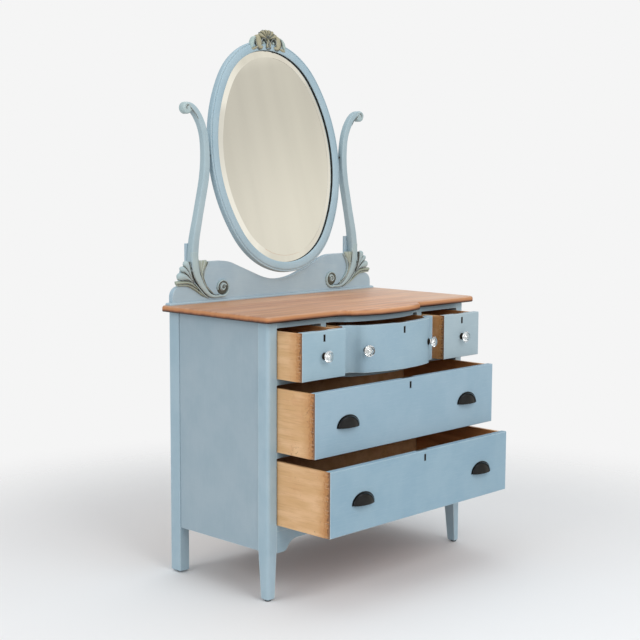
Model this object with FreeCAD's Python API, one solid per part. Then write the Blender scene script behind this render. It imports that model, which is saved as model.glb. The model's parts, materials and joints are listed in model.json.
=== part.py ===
"""Dresser with five drawers and a tilting oval mirror on scrolled standards.

Millimetres, +Z up, -Y is the front, X is centred on the case. The case is drawn with Y = 0 midway between
the front and the back of its posts and the floor at Z = 0. Every drawer is drawn shut and then pulled out by
its own amount, and the mirror is drawn upright and then tilted. At the end everything is moved so that the
origin is the bottom centre of the whole outline.
"""
import FreeCAD, Part
import math
import os
from FreeCAD import Vector

# ---- case -------------------------------------------------------------------------------------------------
CASE_WIDTH = 965.0
CASE_DEPTH = 470.0
RAIL_THICKNESS = 20.0
TOP_RAIL_THICKNESS = 20.0
LEG_CLEAR_HEIGHT = 240.0          # floor to the top of the bottom rail
OPENING_BOTTOM = 212.0            # heights of the three rows of openings
OPENING_MIDDLE = 210.0
OPENING_TOP = 158.0
RAIL_DEPTH = 60.0
TENON_LENGTH = 12.0

POST_FACE = 38.0                  # width seen from the front
FRONT_POST_DEPTH = 43.0
REAR_POST_DEPTH = 47.0
POST_ROUNDING = 12.0
TAPER_HEIGHT = 165.0              # the front legs taper below this
TAPER_SIDE = 9.0
TAPER_BACK = 13.0
FOOT_BEVEL = 4.0
GLIDE_RADIUS = 10.0
GLIDE_HEIGHT = 4.0

PANEL_THICKNESS = 14.0
PANEL_RECESS = 3.0
PANEL_BOTTOM = 157.0
PANEL_TONGUE = 8.0
PANEL_TONGUE_THICKNESS = 6.0
BACK_THICKNESS = 5.0
BACK_REBATE = 12.0

BOW_FLAT_END = 11.0               # straight end of the bowed front, beside its hollow
DIVIDER_WIDTH = 24.0
DIVIDER_DEPTH = 40.0
DIVIDER_TENON = 5.0

RUNNER_BEARING = 22.0             # how far a runner reaches under a drawer side
GUIDE_HEIGHT = 25.0
BACK_RAIL_THICKNESS = 20.0
BACK_RAIL_HEIGHT = 40.0

APRON_THICKNESS = 20.0
APRON_BOTTOM = 185.0
BRACKET_DROP = 35.0
BRACKET_FLAT = 30.0
BRACKET_HOLLOW = 20.0
BRACKET_TURN = 60.0

# ---- serpentine front: a flat end, a hollow, a shoulder and one broad bow -----------------------------------
BOW_DEPTH = 67.0
BOW_RADIUS = 480.0
BOW_TURN = 18.0                   # degrees turned by each half of the broad bow
SHOULDER_TURN = 60.0              # steepest slope, where the shoulder meets the hollow

# ---- top --------------------------------------------------------------------------------------------------
TOP_THICKNESS = 20.0
TOP_OVERHANG_SIDE = 30.0
TOP_OVERHANG_FRONT = 30.0
TOP_CORNER_RADIUS = 20.0
TOP_EDGE_ROUNDING = 7.0
TOP_LOWER_BEVEL = 4.0

# ---- drawers ----------------------------------------------------------------------------------------------
DRAWER_REAR_SPACE = 11.0         # behind a shut drawer, to the rear posts
FRONT_THICKNESS = 21.0
SIDE_THICKNESS = 12.0
BACK_BOARD_THICKNESS = 12.0
BOTTOM_THICKNESS = 6.0
FRONT_EDGE_BEVEL = 1.5
BOTTOM_FIT = 0.2                  # round a bottom in the grooves of a bowed front
SIDE_CLEARANCE = 1.5              # between a drawer and the upright beside it
FRONT_GAP_BELOW = 1.5
FRONT_GAP_ABOVE = 6.0
RUNNING_CLEARANCE = 0.4
SIDE_DROP = 3.0                   # the sides stop this far below the top edge of the front
GROOVE_HEIGHT = 10.0
GROOVE_DEPTH = 6.0
DADO_DEPTH = 5.0
DOVETAIL_LENGTH = 15.0
DOVETAIL_SLOPE = 0.16
DOVETAIL_PITCH = 40.0

OPEN_LEFT = 110.0                 # how far each drawer stands open
OPEN_RIGHT = 101.0
OPEN_CENTRE = 70.0
OPEN_MIDDLE = 165.0
OPEN_BOTTOM = 230.0

LOCK_WIDTH = 56.0
LOCK_HEIGHT = 40.0
LOCK_DEPTH = 12.0
LOCK_PROUD = 1.0                  # how far the lock stands out of the back of the front
BOLT_WIDTH = 26.0
BOLT_THICKNESS = 5.0
BOLT_HEIGHT = 24.0
BOLT_THROW = 10.0
BOLT_CLEARANCE = 0.3
KEYHOLE_DROP = 17.0               # eye of the keyhole below the top edge of the front
KEYHOLE_EYE_RADIUS = 3.8
KEYHOLE_SLOT_WIDTH = 5.0
KEYHOLE_LENGTH = 19.0

KNOB_PAST_BOW = 5.7               # knobs of the serpentine drawer, on its shoulders just past the broad bow
KNOB_HEIGHT = 72.0                # above the bottom edge of the front
KNOB_BASE_RADIUS = 13.0
KNOB_BASE_THICKNESS = 4.0
KNOB_STEM_RADIUS = 5.0
KNOB_STEM_LENGTH = 5.0
KNOB_NECK_RADIUS = 9.0
KNOB_HEAD_RADIUS = 19.0
KNOB_TABLE_RADIUS = 10.5
KNOB_NECK_LENGTH = 5.0
KNOB_FLARE_LENGTH = 5.0
KNOB_GIRDLE_LENGTH = 4.0
KNOB_CROWN_LENGTH = 6.0
KNOB_FACETS = 10

PULL_FROM_POST = 147.5
PULL_WIDTH = 103.0
PULL_HEIGHT = 38.0
PULL_PROJECTION = 24.0
PULL_WALL = 2.2
PULL_FLANGE = 5.0
PULL_FLANGE_THICKNESS = 2.0
PULL_RISE = 1.0                   # centre of the pull above the centre of the front

# ---- mirror support ---------------------------------------------------------------------------------------
BOARD_THICKNESS = 20.0
BOARD_END_INSET = 28.5            # from the end of the top
BOARD_SHOULDER_HEIGHT = 60.0      # above the top of the case
BOARD_SHOULDER_RADIUS = 34.0
BOARD_DIP_HEIGHT = 62.0
BOARD_DIP_RADIUS = 273.0
BOARD_SLOPE = 21.5
BOARD_SLOPE_LENGTH = 123.0
BOARD_CREST_RADIUS = 164.0
MOULDING_END_INSET = 13.5
MOULDING_HEIGHT = 8.0
MOULDING_PROJECTION = 6.0
MOULDING_ROUNDING = 5.0
BOARD_HOUSING = 1.5               # depth of the housing in the top that the moulding stands in

STANDARD_SECTION = 28.0
STANDARD_CHAMFER = 7.0
STANDARD_PROUD = 2.0              # how far it stands forward of flush with the back of its board
SCROLL_RADIUS = 20.0
RELIEF_THICKNESS = 12.0           # carved work that lies on the face of the base board
VOLUTE_RADIUS = 22.0

STANDARD_START = 130.0            # above the table, where the free part of the standard begins
STANDARD_LEAN = 12.2              # degrees, of its straight run
STANDARD_LOWER_BEND = 110.0       # lengths of the two bends that lead into that run and out of it
STANDARD_UPPER_BEND = 115.0
STANDARD_PAST_PIVOT = 29.0        # the upper bend ends this far above the pivot line
BATTEN_OUTWARD = 31.0             # inner edge of the batten, outward of the standard's nearest point
BATTEN_WIDTH = 46.0
BATTEN_THICKNESS = 10.0
BATTEN_BELOW_TABLE = 340.0
BATTEN_ABOVE_TABLE = 200.0

FAN_LOBES = 6
FAN_REACH = 70.0
FAN_SPREAD = 76.0                 # degrees between the first petal and the last
FAN_FIT = 0.3                     # between a fan and the stem beside it
FAN_MARGIN = 2.0                  # the board behind a fan is smaller by this
FAN_OUTWARD = 48.0                # focus of the fan, outward of the standard's nearest point
FAN_ABOVE_TABLE = 75.0

# ---- mirror -----------------------------------------------------------------------------------------------
PIVOT_FROM_BACK = 7.0             # pivot line in front of the back of the case
MIRROR_CLEARANCE = 84.0           # between the table and the upright frame
PIVOT_GAP = 8.0                   # between the frame and the standard
TILT_BACK = 8.0
SIGHT_HALF_WIDTH = 275.0
SIGHT_HALF_HEIGHT = 372.0
SIGHT_END_INSET = 40.0            # the end arcs have a radius this much less than half the width
FRAME_WIDTH = 35.0
FRAME_DEPTH = 25.0
FRAME_SET_BACK = 0.0              # middle of the frame behind the pivot line
REBATE_WIDTH = 9.0
REBATE_FROM_FRONT = 9.0
GLASS_THICKNESS = 5.0
GLASS_EDGE_THICKNESS = 2.0
GLASS_BEVEL = 27.0
GLASS_FIT = 1.0
BACKBOARD_THICKNESS = 5.0
PIVOT_RADIUS = 4.0
PIVOT_CLEARANCE = 0.1
PIVOT_IN_FRAME = 18.0
PIVOT_IN_STANDARD = 16.0
CROWN_FOCUS_RISE = 13.0           # above the sight edge
CROWN_REACH = 61.0
CROWN_THICKNESS = 20.0
CROWN_PROUD = 10.0                # how far it stands in front of the frame
CROWN_FIT = 0.2
CROWN_LOBES = 5
CROWN_SPREAD = 108.0
CROWN_LEAF_REACH = 84.0           # the long leaf at each side of the shell
CROWN_LEAF_RADIUS = 8.0
CROWN_SCROLL_X = 35.0
CROWN_SCROLL_RADIUS = 14.0

# ---- the serpentine line ------------------------------------------------------------------------------------

def shoulder_radius():
    """Radius shared by the shoulder and the hollow, so that together they take up the rest of the depth."""
    bow = math.radians(BOW_TURN)
    steep = math.radians(SHOULDER_TURN)
    left_over = BOW_DEPTH - BOW_RADIUS * (1 - math.cos(bow))
    return left_over / (math.cos(bow) - 2 * math.cos(steep) + 1)


def bow_point(turn, arc_name):
    """Point (x, depth) on the right half of the serpentine line, where its slope is turn degrees."""
    angle = math.radians(turn)
    bow = math.radians(BOW_TURN)
    steep = math.radians(SHOULDER_TURN)
    if arc_name == "bow":
        return BOW_RADIUS * math.sin(angle), BOW_DEPTH - BOW_RADIUS * (1 - math.cos(angle))
    radius = shoulder_radius()
    x0, d0 = BOW_RADIUS * math.sin(bow), BOW_DEPTH - BOW_RADIUS * (1 - math.cos(bow))
    if arc_name == "shoulder":
        return x0 + radius * (math.sin(angle) - math.sin(bow)), d0 - radius * (math.cos(bow) - math.cos(angle))
    x1 = x0 + radius * (math.sin(steep) - math.sin(bow))
    d1 = d0 - radius * (math.cos(bow) - math.cos(steep))
    return x1 + radius * (math.sin(steep) - math.sin(angle)), d1 - radius * (math.cos(angle) - math.cos(steep))


# ---- levels and faces that follow from the sizes above --------------------------------------------------------
HALF_WIDTH = CASE_WIDTH / 2
FRONT_Y = -CASE_DEPTH / 2
BACK_Y = CASE_DEPTH / 2
INNER_X = HALF_WIDTH - POST_FACE
BOTTOM_RAIL_TOP = LEG_CLEAR_HEIGHT
LOWER_RAIL_TOP = BOTTOM_RAIL_TOP + OPENING_BOTTOM + RAIL_THICKNESS
UPPER_RAIL_TOP = LOWER_RAIL_TOP + OPENING_MIDDLE + RAIL_THICKNESS
TOP_RAIL_BOTTOM = UPPER_RAIL_TOP + OPENING_TOP
CASE_TOP = TOP_RAIL_BOTTOM + TOP_RAIL_THICKNESS
TABLE_Z = CASE_TOP + TOP_THICKNESS
RAIL_BACK_Y = FRONT_Y + RAIL_DEPTH
REAR_POST_Y = BACK_Y - REAR_POST_DEPTH
DIVIDER_CENTRE = bow_point(0, "hollow")[0] + BOW_FLAT_END + SIDE_CLEARANCE + DIVIDER_WIDTH / 2
PULL_X = INNER_X - PULL_FROM_POST
KNOB_X = bow_point(BOW_TURN, "bow")[0] + KNOB_PAST_BOW
DRAWER_LENGTH = REAR_POST_Y - DRAWER_REAR_SPACE - FRONT_Y
PANEL_OUTER_X = HALF_WIDTH - PANEL_RECESS
PANEL_INNER_X = PANEL_OUTER_X - PANEL_THICKNESS
BOARD_FRONT_Y = BACK_Y - BOARD_THICKNESS
RELIEF_FRONT_Y = BOARD_FRONT_Y - RELIEF_THICKNESS
MOULDING_FRONT_Y = BOARD_FRONT_Y - MOULDING_PROJECTION
MOULDING_HALF_LENGTH = HALF_WIDTH + TOP_OVERHANG_SIDE - MOULDING_END_INSET
STANDARD_CENTRE_Y = BACK_Y + STANDARD_PROUD - STANDARD_SECTION / 2
PIVOT_Y = BACK_Y - PIVOT_FROM_BACK
SIGHT_END_RADIUS = SIGHT_HALF_WIDTH - SIGHT_END_INSET
PIVOT_ABOVE_TABLE = MIRROR_CLEARANCE + FRAME_WIDTH + SIGHT_HALF_HEIGHT
PIVOT_Z = TABLE_Z + PIVOT_ABOVE_TABLE
CROWN_FOCUS = SIGHT_HALF_HEIGHT + CROWN_FOCUS_RISE
FRAME_OUTER_X = SIGHT_HALF_WIDTH + FRAME_WIDTH
STANDARD_X = FRAME_OUTER_X + PIVOT_GAP + STANDARD_SECTION / 2
LEAN = math.radians(STANDARD_LEAN)
BENDS = (STANDARD_LOWER_BEND + STANDARD_UPPER_BEND) / LEAN
STANDARD_STRAIGHT = (PIVOT_ABOVE_TABLE + STANDARD_PAST_PIVOT - STANDARD_START - BENDS * math.sin(LEAN)) / math.cos(LEAN)
STANDARD_FOOT_OUTWARD = BENDS * (1 - math.cos(LEAN)) + STANDARD_STRAIGHT * math.sin(LEAN)
BOARD_HALF_LENGTH = HALF_WIDTH + TOP_OVERHANG_SIDE - BOARD_END_INSET
FAN_FOCUS_X = STANDARD_X + FAN_OUTWARD
FAN_FOCUS_Z = TABLE_Z + FAN_ABOVE_TABLE
MIDDLE_LINE = Vector(0, 0, 0)
ACROSS = Vector(1, 0, 0)

nodes = {}


def keep(name, *solids):
    """Files the solids of one named piece, or group of like pieces."""
    nodes[name] = list(solids)


def box(x0, x1, y0, y1, z0, z1):
    return Part.makeBox(x1 - x0, y1 - y0, z1 - z0, Vector(x0, y0, z0))


def mirrored(shape):
    return shape.mirror(MIDDLE_LINE, ACROSS)


def extruded(edges, direction):
    """Solid swept straight from a closed run of edges."""
    return Part.Face(Part.Wire(Part.__sortEdges__(edges))).extrude(direction)


def polygon_edges(points):
    return Part.makePolygon([Vector(*p) for p in points] + [Vector(*points[0])]).Edges


def line(a, b):
    return Part.LineSegment(Vector(*a), Vector(*b)).toShape()


def arc(a, middle, b):
    return Part.Arc(Vector(*a), Vector(*middle), Vector(*b)).toShape()


def cylinder_along_y(x, z, radius, y0, y1):
    return Part.makeCylinder(radius, y1 - y0, Vector(x, y0, z), Vector(0, 1, 0))


def rounded(shape, radius, chosen):
    """Fillets the edges for which chosen(edge) is true."""
    edges = [e for e in shape.Edges if chosen(e)]
    return shape.makeFillet(radius, edges)


def bevelled(shape, width, chosen):
    """Cuts off the edges for which chosen(edge) is true."""
    return shape.makeChamfer(width, [e for e in shape.Edges if chosen(e)])


def lies_at(edge, **place):
    """True when both ends and the middle of an edge have the given x, y or z."""
    middle = edge.valueAt((edge.FirstParameter + edge.LastParameter) / 2)
    points = [v.Point for v in edge.Vertexes] + [middle]
    return all(abs(getattr(p, axis) - value) < 0.01 for axis, value in place.items() for p in points)


# ---- boards with a serpentine edge --------------------------------------------------------------------------

def serpentine_edges(flat_y, half_width):
    """Edges from (-half_width, flat_y) to (half_width, flat_y) at Z = 0 with the bow between."""
    middle_turn = (BOW_TURN + SHOULDER_TURN) / 2
    right = [
        (bow_point(BOW_TURN, "bow"), bow_point(middle_turn, "shoulder"), bow_point(SHOULDER_TURN, "shoulder")),
        (bow_point(SHOULDER_TURN, "hollow"), bow_point(SHOULDER_TURN / 2, "hollow"), bow_point(0, "hollow")),
    ]
    edges = []
    for side in (-1, 1):
        for run in right:
            edges.append(arc(*[(side * x, flat_y - depth, 0) for x, depth in run]))
        flat_start = bow_point(0, "hollow")[0]
        edges.append(line((side * flat_start, flat_y, 0), (side * half_width, flat_y, 0)))
    end_x, end_depth = bow_point(BOW_TURN, "bow")
    ends = [(side * end_x, flat_y - end_depth, 0) for side in (-1, 1)]
    edges.append(arc(ends[0], (0, flat_y - BOW_DEPTH, 0), ends[1]))
    return edges


def bow_depth_at(x):
    """How far the serpentine front stands forward of its flat ends at a distance x from the middle."""
    x = abs(x)
    steps = [(turn, "bow") for turn in range(int(BOW_TURN) + 1)]
    steps += [(turn, "shoulder") for turn in range(int(BOW_TURN), int(SHOULDER_TURN) + 1)]
    steps += [(turn, "hollow") for turn in range(int(SHOULDER_TURN), -1, -1)]
    points = [bow_point(*step) for step in steps]
    for (xa, da), (xb, db) in zip(points, points[1:]):
        if xa <= x <= xb and xb > xa:
            return da + (db - da) * (x - xa) / (xb - xa)
    return 0.0


def bowed_slab(half_width, flat_y, back_y, z0, z1):
    """Board with the serpentine line at its front and a straight back."""
    edges = serpentine_edges(flat_y, half_width)
    edges.append(line((-half_width, flat_y, 0), (-half_width, back_y, 0)))
    edges.append(line((half_width, flat_y, 0), (half_width, back_y, 0)))
    edges.append(line((-half_width, back_y, 0), (half_width, back_y, 0)))
    slab = extruded(edges, Vector(0, 0, z1 - z0))
    slab.translate(Vector(0, 0, z0))
    return slab


# ---- case ---------------------------------------------------------------------------------------------------

def straight_rail(z_top):
    return box(-INNER_X, INNER_X, FRONT_Y, RAIL_BACK_Y, z_top - RAIL_THICKNESS, z_top)


def rail_tenons(z0, z1):
    """Stub tenons at both ends of a rail, a third of its thickness."""
    third = (z1 - z0) / 3
    inset = FRONT_POST_DEPTH / 4
    y0, y1 = FRONT_Y + inset, FRONT_Y + FRONT_POST_DEPTH - inset
    right = box(INNER_X, INNER_X + TENON_LENGTH, y0, y1, z0 + third, z1 - third)
    return [right, mirrored(right)]


def bolt_centre(drawer):
    """Y of the middle of the lock bolt with the drawer shut."""
    inner_face = FRONT_Y - (BOW_DEPTH if drawer.bowed else 0) + FRONT_THICKNESS
    return inner_face + LOCK_PROUD - LOCK_DEPTH / 2


def bolt_mortise(drawer):
    """Hole in the rail above a drawer that takes its lock bolt."""
    spare = 1.0
    x, y = drawer.middle, bolt_centre(drawer)
    half_width, half_thickness = BOLT_WIDTH / 2 + spare, BOLT_THICKNESS / 2 + spare
    z0 = drawer.top + FRONT_GAP_ABOVE
    depth = BOLT_THROW - FRONT_GAP_ABOVE + spare
    return box(x - half_width, x + half_width, y - half_thickness, y + half_thickness, z0 - spare, z0 + depth)


def bracket_edges():
    """Front outline of the apron: flat feet beside the posts, an ogee, and a straight middle."""
    low, high, top = APRON_BOTTOM - BRACKET_DROP, APRON_BOTTOM, BOTTOM_RAIL_TOP - RAIL_THICKNESS
    turn = math.radians(BRACKET_TURN)
    radius = (BRACKET_DROP - BRACKET_HOLLOW * (1 - math.cos(turn))) / (1 - math.cos(turn))
    x0 = INNER_X - BRACKET_FLAT
    hollow = [(x0 - BRACKET_HOLLOW * math.sin(a), low + BRACKET_HOLLOW * (1 - math.cos(a)))
              for a in (0, turn / 2, turn)]
    x1 = hollow[-1][0] - radius * math.sin(turn)
    swell = [(x1 + radius * math.sin(a), high - radius * (1 - math.cos(a))) for a in (turn, turn / 2, 0)]
    edges = []
    for side in (-1, 1):
        def place(p):
            return (side * p[0], FRONT_Y, p[1])
        edges.append(line(place((INNER_X, top)), place((INNER_X, low))))
        edges.append(line(place((INNER_X, low)), place((x0, low))))
        edges.append(arc(*[place(p) for p in hollow]))
        edges.append(arc(*[place(p) for p in swell]))
    edges.append(line((-x1, FRONT_Y, high), (x1, FRONT_Y, high)))
    edges.append(line((-INNER_X, FRONT_Y, top), (INNER_X, FRONT_Y, top)))
    return edges


def build_rails(drawers):
    """Rails across the front, each with stub tenons and mortised for the lock bolts of the drawers below."""
    rails = {
        "top_rail": bowed_slab(INNER_X, FRONT_Y, RAIL_BACK_Y, TOP_RAIL_BOTTOM, CASE_TOP),
        "upper_rail": bowed_slab(INNER_X, FRONT_Y, RAIL_BACK_Y, UPPER_RAIL_TOP - RAIL_THICKNESS, UPPER_RAIL_TOP),
        "lower_rail": straight_rail(LOWER_RAIL_TOP),
        "bottom_rail": straight_rail(BOTTOM_RAIL_TOP),
    }
    for name, rail in rails.items():
        bounds = rail.BoundBox
        rail = rail.fuse(rail_tenons(bounds.ZMin, bounds.ZMax)).removeSplitter()
        for drawer in drawers:
            if abs(drawer.top + FRONT_GAP_ABOVE - bounds.ZMin) < 1:
                rail = rail.cut(bolt_mortise(drawer))
        rails[name] = rail
    return rails


def divider(side):
    x0, x1 = DIVIDER_CENTRE - DIVIDER_WIDTH / 2, DIVIDER_CENTRE + DIVIDER_WIDTH / 2
    body = box(x0, x1, FRONT_Y, FRONT_Y + DIVIDER_DEPTH, UPPER_RAIL_TOP, TOP_RAIL_BOTTOM)
    inset = DIVIDER_WIDTH / 3
    tenon = box(x0 + inset, x1 - inset, FRONT_Y + inset, FRONT_Y + DIVIDER_DEPTH - inset,
                UPPER_RAIL_TOP - DIVIDER_TENON, TOP_RAIL_BOTTOM + DIVIDER_TENON)
    body = body.fuse(tenon).removeSplitter()
    return body if side > 0 else mirrored(body)


def front_post():
    """Right front post, with its outer corner rounded and its leg tapered on the two inner sides."""
    post = box(INNER_X, HALF_WIDTH, FRONT_Y, FRONT_Y + FRONT_POST_DEPTH, GLIDE_HEIGHT, CASE_TOP)
    post = rounded(post, POST_ROUNDING, lambda e: lies_at(e, x=HALF_WIDTH, y=FRONT_Y))
    side_taper = polygon_edges([(INNER_X, 0, TAPER_HEIGHT), (INNER_X + TAPER_SIDE, 0, GLIDE_HEIGHT),
                                (INNER_X - TAPER_SIDE, 0, GLIDE_HEIGHT)])
    side_wedge = extruded(side_taper, Vector(0, CASE_DEPTH, 0))
    side_wedge.translate(Vector(0, -CASE_DEPTH, 0))
    back = FRONT_Y + FRONT_POST_DEPTH
    back_taper = polygon_edges([(0, back, TAPER_HEIGHT), (0, back - TAPER_BACK, GLIDE_HEIGHT),
                                (0, back + TAPER_BACK, GLIDE_HEIGHT)])
    back_wedge = extruded(back_taper, Vector(CASE_WIDTH, 0, 0))
    post = post.cut([side_wedge, back_wedge])
    return bevelled(post, FOOT_BEVEL, lambda e: lies_at(e, z=GLIDE_HEIGHT))


def rear_post():
    post = box(INNER_X, HALF_WIDTH, REAR_POST_Y, BACK_Y, GLIDE_HEIGHT, CASE_TOP)
    return bevelled(post, FOOT_BEVEL, lambda e: lies_at(e, z=GLIDE_HEIGHT))


def side_panel():
    """Right side panel with a tongue along each upright edge."""
    y0, y1 = FRONT_Y + FRONT_POST_DEPTH, REAR_POST_Y
    body = box(PANEL_INNER_X, PANEL_OUTER_X, y0, y1, PANEL_BOTTOM, CASE_TOP)
    middle = (PANEL_INNER_X + PANEL_OUTER_X) / 2
    half = PANEL_TONGUE_THICKNESS / 2
    tongue = box(middle - half, middle + half, y0 - PANEL_TONGUE, y1 + PANEL_TONGUE, PANEL_BOTTOM, CASE_TOP)
    return body.fuse(tongue).removeSplitter()


def back_rails():
    """Rails between the rear posts that carry the runners, one for each level."""
    rails = []
    for z_top in (BOTTOM_RAIL_TOP, LOWER_RAIL_TOP, UPPER_RAIL_TOP, CASE_TOP):
        rail = box(-INNER_X - TENON_LENGTH, INNER_X + TENON_LENGTH, REAR_POST_Y,
                   REAR_POST_Y + BACK_RAIL_THICKNESS, z_top - BACK_RAIL_HEIGHT, z_top)
        rails.append(rail)
    return rails


def side_runner(z_top):
    """Right runner with its guide, from the front rail to the back rail."""
    bearing = box(INNER_X - RUNNER_BEARING, PANEL_INNER_X, RAIL_BACK_Y, REAR_POST_Y, z_top - RAIL_THICKNESS, z_top)
    guide = box(INNER_X, PANEL_INNER_X, RAIL_BACK_Y, REAR_POST_Y, z_top, z_top + GUIDE_HEIGHT)
    return bearing.fuse(guide).removeSplitter()


def centre_runner():
    """Runner behind the right divider that serves the drawers on both sides of it."""
    half = DIVIDER_WIDTH / 2
    bearing = box(DIVIDER_CENTRE - half - RUNNER_BEARING, DIVIDER_CENTRE + half + RUNNER_BEARING, RAIL_BACK_Y,
                  REAR_POST_Y, UPPER_RAIL_TOP - RAIL_THICKNESS, UPPER_RAIL_TOP)
    guide = box(DIVIDER_CENTRE - half, DIVIDER_CENTRE + half, FRONT_Y + DIVIDER_DEPTH, REAR_POST_Y,
                UPPER_RAIL_TOP, UPPER_RAIL_TOP + GUIDE_HEIGHT)
    return bearing.fuse(guide).removeSplitter()


def kickers():
    """Strips under the top that keep the small drawers from tipping."""
    outer = box(INNER_X - RUNNER_BEARING, PANEL_INNER_X, RAIL_BACK_Y, REAR_POST_Y, TOP_RAIL_BOTTOM, CASE_TOP)
    half = DIVIDER_WIDTH / 2 + RUNNER_BEARING
    inner = box(DIVIDER_CENTRE - half, DIVIDER_CENTRE + half, RAIL_BACK_Y, REAR_POST_Y, TOP_RAIL_BOTTOM, CASE_TOP)
    return [outer, mirrored(outer), inner, mirrored(inner)]


def glide(x, y):
    return Part.makeCylinder(GLIDE_RADIUS, GLIDE_HEIGHT, Vector(x, y, 0))


def top_board():
    """Top with a serpentine front, a moulded edge on three sides and a housing for the board behind."""
    half = HALF_WIDTH + TOP_OVERHANG_SIDE
    board = bowed_slab(half, FRONT_Y - TOP_OVERHANG_FRONT, BACK_Y, CASE_TOP, TABLE_Z)
    board = rounded(board, TOP_CORNER_RADIUS,
                    lambda e: lies_at(e, y=FRONT_Y - TOP_OVERHANG_FRONT) and abs(e.CenterOfMass.x) > half - 1)

    def outer_edge(z):
        return lambda e: lies_at(e, z=z) and not lies_at(e, y=BACK_Y)
    board = rounded(board, TOP_EDGE_ROUNDING, outer_edge(TABLE_Z))
    board = bevelled(board, TOP_LOWER_BEVEL, outer_edge(CASE_TOP))
    return board.cut(box(-MOULDING_HALF_LENGTH, MOULDING_HALF_LENGTH, MOULDING_FRONT_Y, BACK_Y,
                         TABLE_Z - BOARD_HOUSING, TABLE_Z))


def build_case(drawers):
    rails = build_rails(drawers)
    dividers = [divider(-1), divider(1)]
    rails["top_rail"] = rails["top_rail"].cut(dividers)
    rails["upper_rail"] = rails["upper_rail"].cut(dividers)
    apron = extruded(bracket_edges(), Vector(0, APRON_THICKNESS, 0))
    panel = side_panel()
    rear_rails = back_rails()
    back_z = APRON_BOTTOM - BRACKET_DROP
    back = box(-HALF_WIDTH + BACK_REBATE, HALF_WIDTH - BACK_REBATE, BACK_Y - BACK_THICKNESS, BACK_Y, back_z, CASE_TOP)

    front = front_post().cut(list(rails.values()) + [panel])
    rear = rear_post().cut(rear_rails + [panel, back])
    keep("post_front_right", front)
    keep("post_front_left", mirrored(front))
    keep("post_rear_right", rear)
    keep("post_rear_left", mirrored(rear))
    keep("side_panel_right", panel)
    keep("side_panel_left", mirrored(panel))
    keep("back_panel", back)
    keep("back_rails", *rear_rails)
    for name, rail in rails.items():
        keep(name, rail)
    keep("apron", apron)
    keep("dividers", *dividers)
    runners = []
    for level in (BOTTOM_RAIL_TOP, LOWER_RAIL_TOP, UPPER_RAIL_TOP):
        runner = side_runner(level)
        runners += [runner, mirrored(runner)]
    runner = centre_runner()
    keep("drawer_runners", *runners, runner, mirrored(runner), *kickers())
    keep("top_board", top_board())
    foot_front = (INNER_X + TAPER_SIDE + HALF_WIDTH) / 2, FRONT_Y + (FRONT_POST_DEPTH - TAPER_BACK) / 2
    foot_rear = INNER_X + POST_FACE / 2, BACK_Y - REAR_POST_DEPTH / 2
    keep("floor_glides", *[glide(side * x, y) for x, y in (foot_front, foot_rear) for side in (-1, 1)])


# ---- drawers --------------------------------------------------------------------------------------------------

class Drawer:
    """One drawer, from its opening: the X range of the opening, its bottom and its height."""

    def __init__(self, name, opening_left, opening_right, opening_bottom, opening_height, opened, bowed=False):
        self.name = name
        self.x0 = opening_left + SIDE_CLEARANCE
        self.x1 = opening_right - SIDE_CLEARANCE
        self.middle = (self.x0 + self.x1) / 2
        self.floor = opening_bottom
        self.bottom = opening_bottom + FRONT_GAP_BELOW
        self.top = opening_bottom + opening_height - FRONT_GAP_ABOVE
        self.opened = opened
        self.bowed = bowed

    def out(self, shape):
        """The shape moved from the shut place to where the drawer stands open."""
        moved = shape.copy()
        moved.translate(Vector(0, -self.opened, 0))
        return moved

    def face_y(self, x):
        """Y of the outer face of the shut front at x."""
        return FRONT_Y - (bow_depth_at(x) if self.bowed else 0)


def drawer_front_blank(drawer):
    if not drawer.bowed:
        blank = box(drawer.x0, drawer.x1, FRONT_Y, FRONT_Y + FRONT_THICKNESS, drawer.bottom, drawer.top)
        return bevelled(blank, FRONT_EDGE_BEVEL, lambda e: lies_at(e, y=FRONT_Y))
    inner_y = FRONT_Y + FRONT_THICKNESS
    edges = serpentine_edges(FRONT_Y, drawer.x1) + serpentine_edges(inner_y, drawer.x1)
    edges += [line((x, FRONT_Y, 0), (x, inner_y, 0)) for x in (drawer.x0, drawer.x1)]
    blank = extruded(edges, Vector(0, 0, drawer.top - drawer.bottom))
    blank.translate(Vector(0, 0, drawer.bottom))
    return blank


def drawer_side(drawer):
    """Right side: a board with dovetails on its front end and a dado for the back."""
    x0, x1 = drawer.x1 - SIDE_THICKNESS, drawer.x1
    y0 = FRONT_Y + FRONT_THICKNESS
    z0, z1 = drawer.floor + RUNNING_CLEARANCE, drawer.top - SIDE_DROP
    board = box(x0, x1, y0, FRONT_Y + DRAWER_LENGTH, z0, z1)
    count = max(3, round((z1 - z0) / DOVETAIL_PITCH))
    pitch = (z1 - z0) / count
    tails = []
    for n in range(count):
        middle = z0 + pitch * (n + 0.5)
        neck = pitch * 0.32
        wide = neck + DOVETAIL_LENGTH * DOVETAIL_SLOPE
        outline = polygon_edges([(x0, y0, middle - neck), (x0, y0, middle + neck),
                                 (x0, y0 - DOVETAIL_LENGTH, middle + wide), (x0, y0 - DOVETAIL_LENGTH, middle - wide)])
        tails.append(extruded(outline, Vector(SIDE_THICKNESS, 0, 0)))
    return board.fuse(tails).removeSplitter()


def keyhole(drawer):
    """Cutter for the keyhole, from the face of the front to the lock."""
    x, z = drawer.middle, drawer.top - KEYHOLE_DROP
    y0 = drawer.face_y(x) - 1
    depth = 1 + FRONT_THICKNESS + LOCK_PROUD - LOCK_DEPTH
    eye = cylinder_along_y(x, z, KEYHOLE_EYE_RADIUS, y0, y0 + depth)
    slot = box(x - KEYHOLE_SLOT_WIDTH / 2, x + KEYHOLE_SLOT_WIDTH / 2, y0, y0 + depth,
               z - KEYHOLE_LENGTH + KEYHOLE_EYE_RADIUS, z)
    return eye.fuse(slot)


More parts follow.
